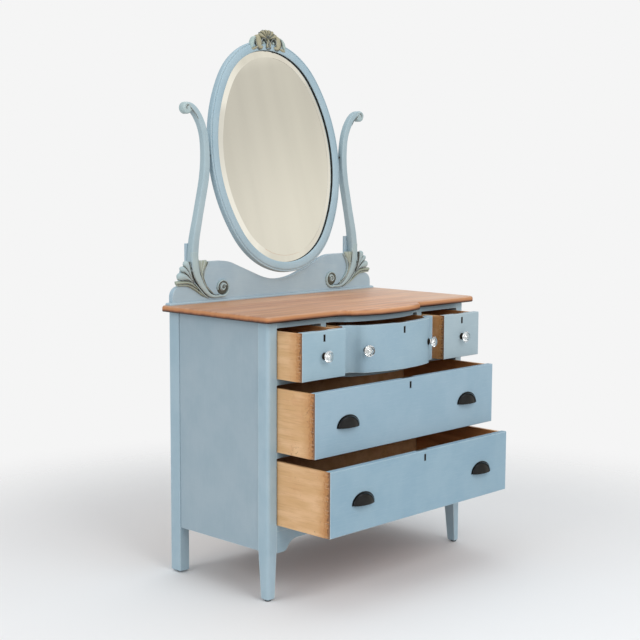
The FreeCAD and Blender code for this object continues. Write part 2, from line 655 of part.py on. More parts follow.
def lock_case(drawer):
    """Half-mortise lock let into the back of the front, open at the top for its bolt."""
    x, y = drawer.middle, bolt_centre(drawer)
    half = LOCK_DEPTH / 2
    case = box(x - LOCK_WIDTH / 2, x + LOCK_WIDTH / 2, y - half, y + half, drawer.top - LOCK_HEIGHT, drawer.top)
    spare = BOLT_CLEARANCE
    slot = box(x - BOLT_WIDTH / 2 - spare, x + BOLT_WIDTH / 2 + spare, y - BOLT_THICKNESS / 2 - spare,
               y + BOLT_THICKNESS / 2 + spare, drawer.top - BOLT_HEIGHT - 2 * spare, drawer.top)
    return case, slot


def bolt(drawer):
    x, y = drawer.middle, bolt_centre(drawer)
    top = drawer.top - BOLT_CLEARANCE
    return box(x - BOLT_WIDTH / 2, x + BOLT_WIDTH / 2, y - BOLT_THICKNESS / 2, y + BOLT_THICKNESS / 2,
               top - BOLT_HEIGHT, top)


def facet_ring(radius, along):
    """Corners of a regular polygon about the Z axis, at a height along it."""
    step = 2 * math.pi / KNOB_FACETS
    return [Vector(radius * math.cos(step * n), radius * math.sin(step * n), along) for n in range(KNOB_FACETS)]


def faceted(rings):
    """Solid with a flat facet between each pair of neighbours in the rings, and flat ends."""
    def facet(corners):
        return Part.Face(Part.makePolygon(corners + corners[:1]))
    facets = [facet(rings[0]), facet(rings[-1])]
    for low, high in zip(rings, rings[1:]):
        for n in range(KNOB_FACETS):
            facets.append(facet([low[n - 1], low[n], high[n], high[n - 1]]))
    solid = Part.Solid(Part.Shell(facets))
    return solid if solid.Volume > 0 else Part.Solid(solid.Shells[0].reversed())


def knob():
    """Metal base with its stem, and the faceted glass, standing on Z = 0."""
    base = Part.makeCylinder(KNOB_BASE_RADIUS, KNOB_BASE_THICKNESS)
    base = bevelled(base, KNOB_BASE_THICKNESS / 2, lambda e: lies_at(e, z=KNOB_BASE_THICKNESS))
    stem = Part.makeCylinder(KNOB_STEM_RADIUS, KNOB_STEM_LENGTH, Vector(0, 0, KNOB_BASE_THICKNESS))
    z = KNOB_BASE_THICKNESS + KNOB_STEM_LENGTH
    rings = [facet_ring(KNOB_NECK_RADIUS, z)]
    for radius, length in ((KNOB_NECK_RADIUS, KNOB_NECK_LENGTH), (KNOB_HEAD_RADIUS, KNOB_FLARE_LENGTH),
                           (KNOB_HEAD_RADIUS, KNOB_GIRDLE_LENGTH), (KNOB_TABLE_RADIUS, KNOB_CROWN_LENGTH)):
        z += length
        rings.append(facet_ring(radius, z))
    return base.fuse(stem).removeSplitter(), faceted(rings)


def placed_knob(drawer, x):
    """Knob square to the face of the front at x."""
    step = 1.0
    slope = math.atan2(drawer.face_y(x + step) - drawer.face_y(x - step), 2 * step)
    z = drawer.bottom + KNOB_HEIGHT
    pieces = []
    for piece in knob():
        piece.rotate(Vector(0, 0, 0), Vector(1, 0, 0), 90)
        piece.rotate(Vector(0, 0, 0), Vector(0, 0, 1), math.degrees(slope))
        piece.translate(Vector(x, drawer.face_y(x), z))
        pieces.append(piece)
    return pieces


def pull_dome(x, z0, half_width, projection, height):
    """Part of a ball in front of the face and above z0, with a footprint of the given half width and height."""
    footprint = (half_width ** 2 + height ** 2) / (2 * height)
    ball = (footprint ** 2 + projection ** 2) / (2 * projection)
    centre = Vector(x, FRONT_Y - projection + ball, z0 + height - footprint)
    room = box(x - ball, x + ball, FRONT_Y - projection - 1, FRONT_Y, z0, z0 + 2 * height)
    return Part.makeSphere(ball, centre, Vector(0, 0, 1), -90, 90, 360).common(room)


def cup_pull(drawer, x):
    """Half-dome pull, open below, with a flange against the front."""
    z0 = (drawer.bottom + drawer.top) / 2 + PULL_RISE - PULL_HEIGHT / 2
    half, height = PULL_WIDTH / 2 - PULL_FLANGE, PULL_HEIGHT - PULL_FLANGE
    cup = pull_dome(x, z0, half, PULL_PROJECTION, height)
    room = pull_dome(x, z0, half - PULL_WALL, PULL_PROJECTION - PULL_WALL, height - PULL_WALL)
    plate = extruded([
        arc((x - PULL_WIDTH / 2, FRONT_Y, z0), (x, FRONT_Y, z0 + PULL_HEIGHT), (x + PULL_WIDTH / 2, FRONT_Y, z0)),
        line((x + PULL_WIDTH / 2, FRONT_Y, z0), (x - PULL_WIDTH / 2, FRONT_Y, z0)),
    ], Vector(0, -PULL_FLANGE_THICKNESS, 0))
    return cup.fuse(plate).cut(room)


def build_drawer(drawer):
    name = drawer.name
    side = drawer_side(drawer)
    other = side.mirror(Vector(drawer.middle, 0, 0), ACROSS)
    z0 = drawer.floor + RUNNING_CLEARANCE + GROOVE_HEIGHT
    inner_x0, inner_x1 = drawer.x0 + SIDE_THICKNESS, drawer.x1 - SIDE_THICKNESS
    end_y = FRONT_Y + DRAWER_LENGTH
    back_y0, back_y1 = end_y - BACK_BOARD_THICKNESS - DADO_DEPTH, end_y - DADO_DEPTH
    panel_front = FRONT_Y + FRONT_THICKNESS - GROOVE_DEPTH
    panel_edges = (inner_x0 - GROOVE_DEPTH, inner_x1 + GROOVE_DEPTH)
    if drawer.bowed:
        panel = bowed_slab(panel_edges[1], panel_front + BOTTOM_FIT, back_y1, z0, z0 + BOTTOM_THICKNESS)
    else:
        panel = box(panel_edges[0], panel_edges[1], panel_front, back_y1, z0, z0 + BOTTOM_THICKNESS)
    back = box(inner_x0 - DADO_DEPTH, inner_x1 + DADO_DEPTH, back_y0, back_y1, z0 + BOTTOM_THICKNESS,
               drawer.top - SIDE_DROP - 2)
    case, slot = lock_case(drawer)
    groove = panel.copy()
    if drawer.bowed:
        groove.translate(Vector(0, -BOTTOM_FIT, 0))
    front = drawer_front_blank(drawer).cut([side, other, groove, case, keyhole(drawer)])
    keep(name + "_front", drawer.out(front))
    keep(name + "_sides", *[drawer.out(board) for board in (side.cut([panel, back]), other.cut([panel, back]), back)])
    keep(name + "_bottom", drawer.out(panel))
    keep(name + "_lock", drawer.out(case.cut(slot)))
    keep(name + "_lock_bolt", drawer.out(bolt(drawer)))
    if name in KNOBS:
        knobs = [placed_knob(drawer, x) for x in KNOBS[name](drawer)]
        keep(name + "_knob_base", *[drawer.out(base) for base, glass in knobs])
        keep(name + "_knob_glass", *[drawer.out(glass) for base, glass in knobs])
    else:
        keep(name + "_pulls", *[drawer.out(cup_pull(drawer, side * PULL_X)) for side in (-1, 1)])


KNOBS = {
    "drawer_left": lambda drawer: [drawer.middle],
    "drawer_centre": lambda drawer: [-KNOB_X, KNOB_X],
    "drawer_right": lambda drawer: [drawer.middle],
}


def all_drawers():
    inner, outer = DIVIDER_CENTRE - DIVIDER_WIDTH / 2, DIVIDER_CENTRE + DIVIDER_WIDTH / 2
    top_row = (UPPER_RAIL_TOP, OPENING_TOP)
    return [
        Drawer("drawer_left", -INNER_X, -outer, *top_row, OPEN_LEFT),
        Drawer("drawer_centre", -inner, inner, *top_row, OPEN_CENTRE, bowed=True),
        Drawer("drawer_right", outer, INNER_X, *top_row, OPEN_RIGHT),
        Drawer("drawer_middle", -INNER_X, INNER_X, LOWER_RAIL_TOP, OPENING_MIDDLE, OPEN_MIDDLE),
        Drawer("drawer_bottom", -INNER_X, INNER_X, BOTTOM_RAIL_TOP, OPENING_BOTTOM, OPEN_BOTTOM),
    ]


# ---- mirror support ---------------------------------------------------------------------------------------------

def base_board():
    """Board on the rear of the top: a dip under the mirror, a crest each side and rounded shoulders."""
    low, y = TABLE_Z + MOULDING_HEIGHT, BOARD_FRONT_Y
    slope = math.radians(BOARD_SLOPE)

    def turned(x, z, radius, angle_from, angle_to, bulge):
        """Three points of an arc that starts at (x, z); bulge is 1 for a crest and -1 for a dip."""
        points = []
        for angle in (angle_from, (angle_from + angle_to) / 2, angle_to):
            points.append((x + bulge * radius * (math.sin(angle_from) - math.sin(angle)),
                           z + bulge * radius * (math.cos(angle) - math.cos(angle_from))))
        return points
    dip = turned(0, TABLE_Z + BOARD_DIP_HEIGHT, BOARD_DIP_RADIUS, 0, slope, -1)
    crest_x = dip[-1][0] + BOARD_SLOPE_LENGTH * math.cos(slope)
    crest_z = dip[-1][1] + BOARD_SLOPE_LENGTH * math.sin(slope)
    crest = turned(crest_x, crest_z, BOARD_CREST_RADIUS, slope, 0, 1)
    shoulder_z = TABLE_Z + BOARD_SHOULDER_HEIGHT
    shoulder_x = BOARD_HALF_LENGTH - BOARD_SHOULDER_RADIUS
    corner = BOARD_SHOULDER_RADIUS * math.sqrt(0.5)
    corner_z = shoulder_z - BOARD_SHOULDER_RADIUS
    edges = [line((-BOARD_HALF_LENGTH, y, low), (BOARD_HALF_LENGTH, y, low))]
    for side in (-1, 1):
        def place(p):
            return (side * p[0], y, p[1])
        edges.append(arc(*[place(p) for p in dip]))
        edges.append(line(place(dip[-1]), place((crest_x, crest_z))))
        edges.append(arc(*[place(p) for p in crest]))
        level = (FAN_FOCUS_X, crest[-1][1])
        edges.append(line(place(crest[-1]), place(level)))
        edges.append(line(place(level), place((shoulder_x, shoulder_z))))
        edges.append(arc(place((shoulder_x, shoulder_z)), place((shoulder_x + corner, corner_z + corner)),
                         place((BOARD_HALF_LENGTH, corner_z))))
        edges.append(line(place((BOARD_HALF_LENGTH, corner_z)), place((BOARD_HALF_LENGTH, low))))
    board = extruded(edges, Vector(0, BOARD_THICKNESS, 0))
    ear = fan_shell(FAN_REACH - FAN_MARGIN, BOARD_FRONT_Y, BACK_Y)
    return board.fuse([ear, mirrored(ear)]).removeSplitter()


def base_moulding():
    """Strip under the board, let into the top."""
    strip = box(-MOULDING_HALF_LENGTH, MOULDING_HALF_LENGTH, MOULDING_FRONT_Y, BACK_Y, TABLE_Z - BOARD_HOUSING,
                TABLE_Z + MOULDING_HEIGHT)
    return rounded(strip, MOULDING_ROUNDING,
                   lambda e: lies_at(e, z=TABLE_Z + MOULDING_HEIGHT) and not lies_at(e, y=BACK_Y))


def batten():
    """Right batten that ties the mirror support to the back of the case."""
    x0 = STANDARD_X + BATTEN_OUTWARD
    return box(x0, x0 + BATTEN_WIDTH, BACK_Y, BACK_Y + BATTEN_THICKNESS, TABLE_Z - BATTEN_BELOW_TABLE,
               TABLE_Z + BATTEN_ABOVE_TABLE)


def standard_runs():
    """Length and turn of each run of the free part of the standard, from the board up to its scroll."""
    return [(STANDARD_LOWER_BEND, -STANDARD_LEAN), (STANDARD_STRAIGHT, 0), (STANDARD_UPPER_BEND, STANDARD_LEAN),
            (26, 0), (62, 38), (28, 0), (54, 52)]


def stem_line():
    """Middle and width of the stem that carries on down the face of the board to the volute."""
    start = STANDARD_FOOT_OUTWARD
    outward_up_width = [(start - 1, STANDARD_START + 20, STANDARD_SECTION), (start - 3, STANDARD_START - 20, 25),
                        (45, 82, 22), (26, 57, 18), (4, 39, 14), (-22, 27, 10), (-50, 24, 8)]
    return [(STANDARD_X + x, TABLE_Z + z, width) for x, z, width in outward_up_width]


def bar_section(x, z, heading, section, chamfer):
    """Square with its corners cut off, where the bar heads up and leans outward by heading degrees."""
    half, flat = section / 2, section / 2 - chamfer
    corners = [(half, flat), (flat, half), (-flat, half), (-half, flat), (-half, -flat), (-flat, -half),
               (flat, -half), (half, -flat)]
    profile = Part.Face(Part.Wire(polygon_edges([(across, deep, 0) for across, deep in corners])))
    profile.rotate(Vector(0, 0, 0), Vector(0, 1, 0), heading)
    profile.translate(Vector(x, STANDARD_CENTRE_Y, z))
    return profile


def bent_bar(x, z, runs, section, chamfer):
    """Chamfered bar of straight and curved runs, each tangent to the last; also gives its end point."""
    heading = 0.0
    pieces = []
    for length, turn in runs:
        profile = bar_section(x, z, heading, section, chamfer)
        lean = math.radians(heading)
        if turn == 0:
            step = Vector(length * math.sin(lean), 0, length * math.cos(lean))
            pieces.append(profile.extrude(step))
            x, z = x + step.x, z + step.z
            continue
        radius = length / math.radians(turn)
        centre = Vector(x + radius * math.cos(lean), STANDARD_CENTRE_Y, z - radius * math.sin(lean))
        pieces.append(profile.revolve(centre, Vector(0, 1, 0), turn))
        heading += turn
        lean = math.radians(heading)
        x, z = centre.x - radius * math.cos(lean), centre.z + radius * math.sin(lean)
    return pieces[0].fuse(pieces[1:]), x, z


def stem_outline():
    """Tapering scroll stem that runs down the face of the base board to its volute."""
    sides = ([], [])
    middle = stem_line()
    for n, (x, z, width) in enumerate(middle):
        before, after = middle[max(n - 1, 0)], middle[min(n + 1, len(middle) - 1)]
        dx, dz = after[0] - before[0], after[1] - before[1]
        length = math.hypot(dx, dz)
        for side, points in zip((-1, 1), sides):
            points.append((x - side * dz / length * width / 2, RELIEF_FRONT_Y, z + side * dx / length * width / 2))
    edges = []
    for points in sides:
        spline = Part.BSplineCurve()
        spline.interpolate([Vector(*p) for p in points])
        edges.append(spline.toShape())
    edges.append(line(sides[0][0], sides[1][0]))
    edges.append(line(sides[0][-1], sides[1][-1]))
    return edges


def standard(board, post_batten):
    """Right standard: a bent bar with a scroll at its top and a carved stem and volute at its foot."""
    bar, end_x, end_z = bent_bar(STANDARD_X + STANDARD_FOOT_OUTWARD, TABLE_Z + STANDARD_START, standard_runs(),
                                 STANDARD_SECTION, STANDARD_CHAMFER)
    half = STANDARD_SECTION / 2
    scroll_x, scroll_z = end_x, end_z + STANDARD_SECTION / 2 - SCROLL_RADIUS
    scroll = cylinder_along_y(scroll_x, scroll_z, SCROLL_RADIUS, STANDARD_CENTRE_Y - half, STANDARD_CENTRE_Y + half)
    scroll = bevelled(scroll, STANDARD_CHAMFER / 2, lambda e: e.Closed)
    stem = extruded(stem_outline(), Vector(0, RELIEF_THICKNESS, 0))
    tip_x, tip_z, tip_width = stem_line()[-1]
    volute = cylinder_along_y(tip_x - VOLUTE_RADIUS * 0.65, tip_z + VOLUTE_RADIUS - tip_width / 2,
                              VOLUTE_RADIUS, RELIEF_FRONT_Y, BOARD_FRONT_Y)
    whole = bar.fuse([scroll, stem, volute])
    bore = Part.makeCylinder(PIVOT_RADIUS + PIVOT_CLEARANCE, PIVOT_IN_STANDARD + STANDARD_SECTION,
                             Vector(pivot_end_x() - PIVOT_IN_STANDARD - STANDARD_SECTION, PIVOT_Y, PIVOT_Z), ACROSS)
    return whole.cut([board, post_batten, bore])


def lobe(focus_x, focus_z, angle, reach, radius, y0, y1):
    """One petal of a carved fan: a wedge from the focus that ends in a round tip."""
    a = math.radians(angle)
    tip_x, tip_z = focus_x + reach * math.cos(a), focus_z + reach * math.sin(a)
    tip = cylinder_along_y(tip_x, tip_z, radius, y0, y1)
    across = (-math.sin(a) * radius, math.cos(a) * radius)
    wedge = polygon_edges([(focus_x, y0, focus_z), (tip_x + across[0], y0, tip_z + across[1]),
                           (tip_x - across[0], y0, tip_z - across[1])])
    return tip.fuse(extruded(wedge, Vector(0, y1 - y0, 0)))


def carved_shell(focus_x, focus_z, first, last, count, reach, y0, y1):
    """Scalloped fan of equal petals between two angles, each petal overlapping the next a little."""
    step = (last - first) / (count - 1)
    spread = 1.08 * math.tan(math.radians(step) / 2)
    hub = reach / (1 + spread)
    petals = [lobe(focus_x, focus_z, first + step * n, hub, hub * spread, y0, y1) for n in range(count)]
    return petals[0].fuse(petals[1:]).removeSplitter()


def fan_shell(reach, y0, y1):
    return carved_shell(FAN_FOCUS_X, FAN_FOCUS_Z, 0, FAN_SPREAD, FAN_LOBES, reach, y0, y1)


def largest(shape):
    return max(shape.Solids, key=lambda solid: solid.Volume)


def carved_fan(standard_shape):
    """Right fan beside the foot of the standard, fitted round it with a little play."""
    outward = standard_shape.copy()
    outward.translate(Vector(FAN_FIT, 0, 0))
    return largest(fan_shell(FAN_REACH, RELIEF_FRONT_Y + 1, BOARD_FRONT_Y).cut([standard_shape, outward]))


# ---- mirror -----------------------------------------------------------------------------------------------------

def oval_centres():
    """Centre heights and radii of the sight oval: the end arcs, then the side arcs tangent to them."""
    end_radius = SIGHT_END_RADIUS
    rise, width = SIGHT_HALF_HEIGHT - end_radius, SIGHT_HALF_WIDTH
    side_radius = (rise ** 2 + width ** 2 - end_radius ** 2) / (2 * (width - end_radius))
    return rise, end_radius, side_radius - width, side_radius


def oval_edges(grow, y):
    """Upright oval about the pivot line, larger than the sight size by grow, at y behind the pivot line."""
    rise, end_radius, inset, side_radius = oval_centres()
    seam = math.atan2(rise, inset)

    def on_end(angle, way):
        radius = end_radius + grow
        return radius * math.cos(angle), PIVOT_Y + y, PIVOT_Z + way * (rise + radius * math.sin(angle))

    def on_side(angle, way):
        radius = side_radius + grow
        return way * (radius * math.cos(angle) - inset), PIVOT_Y + y, PIVOT_Z + radius * math.sin(angle)
    edges = []
    for way in (-1, 1):
        edges.append(arc(on_end(seam, way), on_end(math.pi / 2, way), on_end(math.pi - seam, way)))
        edges.append(arc(on_side(-seam, way), on_side(0, way), on_side(seam, way)))
    return edges


def frame_outline():
    """Section of the oval frame at the height of the pivot: crowned in front in flats, rebated behind."""
    front = PIVOT_Y + FRAME_SET_BACK - FRAME_DEPTH / 2
    back = front + FRAME_DEPTH
    x0, x1 = SIGHT_HALF_WIDTH, SIGHT_HALF_WIDTH + FRAME_WIDTH
    lip = front + REBATE_FROM_FRONT
    rebate = x0 + REBATE_WIDTH
    crown_half, fall = FRAME_WIDTH / 6, FRAME_DEPTH / 2
    middle = (x0 + x1) / 2
    corners = [(x0, lip), (x0, lip - 4), (x0 + 5, front + 1.5), (middle - crown_half, front),
               (middle + crown_half, front), (x1 - 5, front + 4), (x1, front + fall), (x1, back - 4), (x1 - 4, back),
               (rebate, back), (rebate, lip)]
    return polygon_edges([(x, y, PIVOT_Z) for x, y in corners])


def mirror_frame():
    """The section turned about the centres of the side arcs and of the end arcs."""
    rise, end_radius, inset, side_radius = oval_centres()
    seam = math.degrees(math.atan2(rise, inset))
    section = Part.Face(Part.Wire(Part.__sortEdges__(frame_outline())))
    side_centre, end_centre = Vector(-inset, PIVOT_Y, PIVOT_Z), Vector(0, PIVOT_Y, PIVOT_Z + rise)
    backward = Vector(0, 1, 0)
    low = section.copy()
    low.rotate(side_centre, backward, seam)
    right = low.revolve(side_centre, backward, -2 * seam)
    high = section.copy()
    high.rotate(side_centre, backward, -seam)
    upper = high.revolve(end_centre, backward, 2 * seam - 180)
    lower = upper.mirror(Vector(0, PIVOT_Y, PIVOT_Z), Vector(0, 0, 1))
    return right.fuse([upper, mirrored(right), lower])


def oval_plate(grow, y0, y1):
    return extruded(oval_edges(grow, y0), Vector(0, y1 - y0, 0))


def mirror_glass():
    """Plate with a wide bevel round its front."""
    grow = REBATE_WIDTH - GLASS_FIT
    front = FRAME_SET_BACK - FRAME_DEPTH / 2 + REBATE_FROM_FRONT + GLASS_FIT / 2
    edge = front + GLASS_THICKNESS - GLASS_EDGE_THICKNESS
    outlines = [Part.Wire(Part.__sortEdges__(oval_edges(*place))) for place in ((-GLASS_BEVEL, front), (grow, edge))]
    bevel = Part.makeLoft(outlines, True, True)
    return bevel.fuse(oval_plate(grow, edge, front + GLASS_THICKNESS)).removeSplitter()


def crown():
    """Carved shell with a scroll on each side, over the top of the frame."""
    frame_front = FRAME_SET_BACK - FRAME_DEPTH / 2
    front = PIVOT_Y + frame_front - CROWN_PROUD
    back = front + CROWN_THICKNESS
    focus = PIVOT_Z + CROWN_FOCUS
    half_spread = CROWN_SPREAD / 2
    shell = carved_shell(0, focus, 90 - half_spread, 90 + half_spread, CROWN_LOBES, CROWN_REACH,
                         front, back)
    pieces = [cylinder_along_y(0, focus, CROWN_LEAF_RADIUS, front, back)]
    for side in (-1, 1):
        pieces.append(cylinder_along_y(side * CROWN_SCROLL_X, focus - 4, CROWN_SCROLL_RADIUS, front, back))
        pieces.append(lobe(0, focus, 90 - side * 96, CROWN_LEAF_REACH - CROWN_LEAF_RADIUS, CROWN_LEAF_RADIUS,
                           front, back))
    seat = oval_plate(FRAME_WIDTH + CROWN_FIT, frame_front - CROWN_FIT, frame_front + 2 * CROWN_THICKNESS)
    return largest(shell.fuse(pieces).removeSplitter().cut(seat))


def pivot_start_x():
    return FRAME_OUTER_X - PIVOT_IN_FRAME


def pivot_end_x():
    return STANDARD_X - STANDARD_SECTION / 2 + PIVOT_IN_STANDARD


def pivot_pin():
    return Part.makeCylinder(PIVOT_RADIUS, pivot_end_x() - pivot_start_x(), Vector(pivot_start_x(), PIVOT_Y, PIVOT_Z),
                             ACROSS)


def tilted(shape):
    turned = shape.copy()
    turned.rotate(Vector(0, PIVOT_Y, PIVOT_Z), ACROSS, -TILT_BACK)
    return turned


def build_mirror():
    frame = mirror_frame()
    pin = pivot_pin()
    pins = [pin, mirrored(pin)]
    glass = mirror_glass()
    glass_back = glass.BoundBox.YMax - PIVOT_Y
    backing = oval_plate(REBATE_WIDTH - GLASS_FIT, glass_back, glass_back + BACKBOARD_THICKNESS)
    keep("mirror_crown", tilted(crown()))
    keep("mirror_frame", tilted(frame.cut(pins)))
    keep("mirror_glass", tilted(glass))
    keep("mirror_backboard", tilted(backing))
    keep("mirror_pivot_pins", *[tilted(p) for p in pins])


def build_support():
    board, moulding, strut = base_board(), base_moulding(), batten()
    upright = standard(board, strut)
    fan = carved_fan(upright)
    keep("base_board", board, moulding)
    keep("mirror_battens", strut, mirrored(strut))
    keep("standard_right", upright)
    keep("standard_left", mirrored(upright))
    keep("carved_fans", fan, mirrored(fan))


def export_all():
    """Moves every piece so that the origin is the bottom centre of the whole outline, and writes it."""
    whole = Part.makeCompound([solid for solids in nodes.values() for solid in solids])
    bounds = whole.optimalBoundingBox(False, False)
    shift = Vector(-(bounds.XMin + bounds.XMax) / 2, -(bounds.YMin + bounds.YMax) / 2, -bounds.ZMin)
    os.makedirs("parts", exist_ok=True)
    for name, solids in nodes.items():
        group = Part.makeCompound(solids) if len(solids) > 1 else solids[0]
        group = group.copy()
        group.translate(shift)
        group.exportStep(f"parts/{name}.step")
    print("origin moved by", [round(v, 4) for v in shift], "nodes", len(nodes))


drawers = all_drawers()
build_case(drawers)
for each in drawers:
    build_drawer(each)
build_support()
build_mirror()
export_all()
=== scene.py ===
import json
import math

import bmesh
import bpy
from mathutils import Matrix, Vector


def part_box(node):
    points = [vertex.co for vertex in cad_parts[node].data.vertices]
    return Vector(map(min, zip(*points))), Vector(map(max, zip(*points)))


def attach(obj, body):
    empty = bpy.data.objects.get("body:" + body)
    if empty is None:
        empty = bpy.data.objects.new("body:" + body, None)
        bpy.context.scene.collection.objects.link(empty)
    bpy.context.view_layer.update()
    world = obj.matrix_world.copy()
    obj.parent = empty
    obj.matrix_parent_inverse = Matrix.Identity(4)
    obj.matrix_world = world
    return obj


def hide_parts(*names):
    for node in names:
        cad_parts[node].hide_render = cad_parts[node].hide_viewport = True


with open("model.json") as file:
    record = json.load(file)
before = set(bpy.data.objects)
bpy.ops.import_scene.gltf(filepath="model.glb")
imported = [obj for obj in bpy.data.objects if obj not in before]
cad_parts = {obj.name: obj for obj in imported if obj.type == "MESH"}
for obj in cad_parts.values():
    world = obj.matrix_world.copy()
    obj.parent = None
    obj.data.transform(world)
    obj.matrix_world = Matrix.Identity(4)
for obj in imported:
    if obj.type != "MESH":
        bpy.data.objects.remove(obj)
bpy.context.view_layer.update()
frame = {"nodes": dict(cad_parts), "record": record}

bl_info = {
    "name": "Painted dresser with oval mirror",
    "version": (1, 0, 0),
    "blender": (4, 5, 0),
    "location": "3D View > Sidebar > Dresser",
    "description": "Carving, moulding, fittings and finishes of a painted dresser with a tilting oval mirror",
    "category": "Object",
}

# Sizes are in millimetres and degrees. Across and front to back they start from the middle of the case.
MM = 0.001
BACK_Y, FRONT_Y = 235.0, -235.0
MID_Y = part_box("back_panel")[1].y - BACK_Y * MM
TABLE_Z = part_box("top_board")[1].z / MM
BOW_DEPTH, BOW_RADIUS = 67.0, 480.0
BOARD_FRONT_Y = 215.0                       # face of the board that the carving lies on
STANDARD_X, STANDARD_Y = 332.0, 223.0       # axis that the carving is laid out from, and middle of the bar
FOOT_OUTWARD = 59.9                         # from that axis to the free part of the bar
PIVOT_Y, PIVOT_Z = 228.0, TABLE_Z + 491.0
TILT_BACK = 8.0
SIGHT_HALF_WIDTH, SIGHT_HALF_HEIGHT, END_RADIUS = 275.0, 372.0, 235.0
FRAME_FRONT = -12.5                         # face of the oval frame, from the pivot
KNOB_X, KNOB_TURN = 154.0, 20.5             # place and heading of the knobs on the shoulders of the bow
KEYHOLE_LOWEST, KEYHOLE_HIGHEST = 33.5, 11.5    # below the top edge of a front
KEYHOLE_HALF = (2.6, 9.2)                   # half width and half height of the hole
PULL_HALF = 51.5                            # half the width of a cup pull over its flange
SIDES = (-1, 1)
DRAWERS = ("left", "centre", "right", "middle", "bottom")
FACING_FRONT = (math.pi / 2, 0, 0)          # turn of a round head whose axis lies front to back
BODY_OF = {node: body for body, nodes in frame["record"]["behaviour"]["bodies"].items() for node in nodes}
SMOOTH = {"interpolation_type": "SMOOTHSTEP"}


# ---- small helpers -------------------------------------------------------------------------------------

def linear(hex_colour):
    """sRGB hex value as linear red, green, blue and an alpha of one."""
    parts = [int(hex_colour.lstrip("#")[n:n + 2], 16) / 255 for n in (0, 2, 4)]
    return tuple(c / 12.92 if c <= 0.04045 else ((c + 0.055) / 1.055) ** 2.4 for c in parts) + (1.0,)


def feed(tree, node, inputs):
    """Sets inputs, by place or by name, to a value or to the node or socket that feeds them."""
    for key, value in inputs.items() if isinstance(inputs, dict) else enumerate(inputs):
        if isinstance(value, bpy.types.Node):
            value = value.outputs[0]
        if isinstance(value, bpy.types.NodeSocket):
            tree.links.new(value, node.inputs[key])
        else:
            node.inputs[key].default_value = value


def add(tree, kind, inputs=(), **settings):
    """One node, with its settings and what its inputs take."""
    node = tree.nodes.new(kind)
    for key, value in settings.items():
        setattr(node, key, value)
    feed(tree, node, inputs)
    return node


def place(x, y, z):
    """Point given in millimetres from the middle of the case, as a place in the frame."""
    return Vector((x * MM, y * MM + MID_Y, z * MM))


def shown(name, data):
    """Object in the scene, at the origin, for a mesh, a lamp or a camera."""
    made = bpy.data.objects.new(name, data)
    bpy.context.scene.collection.objects.link(made)
    return made


def plain_mesh(name, points, faces=(), edges=()):
    mesh = bpy.data.meshes.new(name)
    mesh.from_pydata(points, edges, faces)
    return mesh


def dress(mesh, finishes):
    """Gives a mesh its materials. This clears the finish of each face, so it comes before those are set."""
    mesh.materials.clear()
    for name in finishes:
        mesh.materials.append(finish(name))


def mark_crisp(bm, sharp, smooth=True):
    """Shades faces smooth and marks the edges that turn by more than sharp degrees."""
    for face in bm.faces:
        face.smooth = smooth
    for edge in bm.edges:
        edge.smooth = not (len(edge.link_faces) == 2 and edge.calc_face_angle(0) > math.radians(sharp))


def tidy_mesh(mesh, sharp, smooth=True):
    """Merges doubles, turns faces outwards and marks the edges that stay crisp."""
    bm = bmesh.new()
    bm.from_mesh(mesh)
    bmesh.ops.remove_doubles(bm, verts=bm.verts, dist=1e-6)
    bmesh.ops.recalc_face_normals(bm, faces=bm.faces)
    mark_crisp(bm, sharp, smooth)
    bm.to_mesh(mesh)
    bm.free()


def mark(piece, name, values):
    """Stores one number for each point of a piece."""
    layer = piece.data.attributes.new(name, "FLOAT", "POINT")
    for item, value in zip(layer.data, values):
        item.value = value


def settle(piece, body, replaced=()):
    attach(piece, body)
    if replaced:
        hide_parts(*replaced)
    return piece


def softened(node, finishes, edge, pick=None):
    """A finer copy of a CAD node, merged, with worn soft edges. Pick chooses the finish of a face by its
    centre and normal."""
    mesh = frame["nodes"][node].data.copy()
    mesh.name = node + "_finished"
    piece = shown(mesh.name, mesh)
    bm = bmesh.new()
    bm.from_mesh(mesh)
    bmesh.ops.remove_doubles(bm, verts=bm.verts, dist=2e-6)
    bmesh.ops.dissolve_limit(bm, angle_limit=math.radians(0.2), verts=bm.verts, edges=bm.edges)
    mark_crisp(bm, 30.0)
    for face in bm.faces:
        face.material_index = int(pick(face.calc_center_median(), face.normal)) if pick else 0
    dress(mesh, finishes)
    bm.to_mesh(mesh)
    bm.free()
    bevel = piece.modifiers.new("worn edges", "BEVEL")
    bevel.width, bevel.segments = edge, 2
    bevel.limit_method, bevel.angle_limit = "ANGLE", math.radians(40)
    bevel.harden_normals = True
    return settle(piece, BODY_OF[node], (node,))


def on_mirror(p):
    """A point drawn on the upright mirror, moved to where the mirror rests tilted."""
    c, s = math.cos(math.radians(-TILT_BACK)), math.sin(math.radians(-TILT_BACK))
    x, y, z = p
    y, z = y - PIVOT_Y, z - PIVOT_Z
    return Vector((x, PIVOT_Y + y * c - z * s, PIVOT_Z + y * s + z * c))


def other_side(p):
    return Vector((-p.x, p.y, p.z))


class Form:
    """Loose mesh data in millimetres that pieces are put together from."""

    def __init__(self, points=(), faces=(), slots=()):
        self.points, self.faces, self.slots = list(points), list(faces), list(slots)

    def join(self, *others):
        for other in others:
            start = len(self.points)
            self.points += other.points
            self.faces += [[i + start for i in face] for face in other.faces]
            self.slots += other.slots
        return self

    def moved(self, change):
        return Form([change(p) for p in self.points], self.faces, self.slots)

    def object(self, name, finishes, sharp=40, smooth=True):
        mesh = plain_mesh(name, [place(*p) for p in self.points], self.faces)
        dress(mesh, finishes)
        for face, slot in zip(mesh.polygons, self.slots):
            face.material_index = slot
        tidy_mesh(mesh, sharp, smooth)
        return shown(name, mesh)


# ---- Geometry Nodes --------------------------------------------------------------------------------------

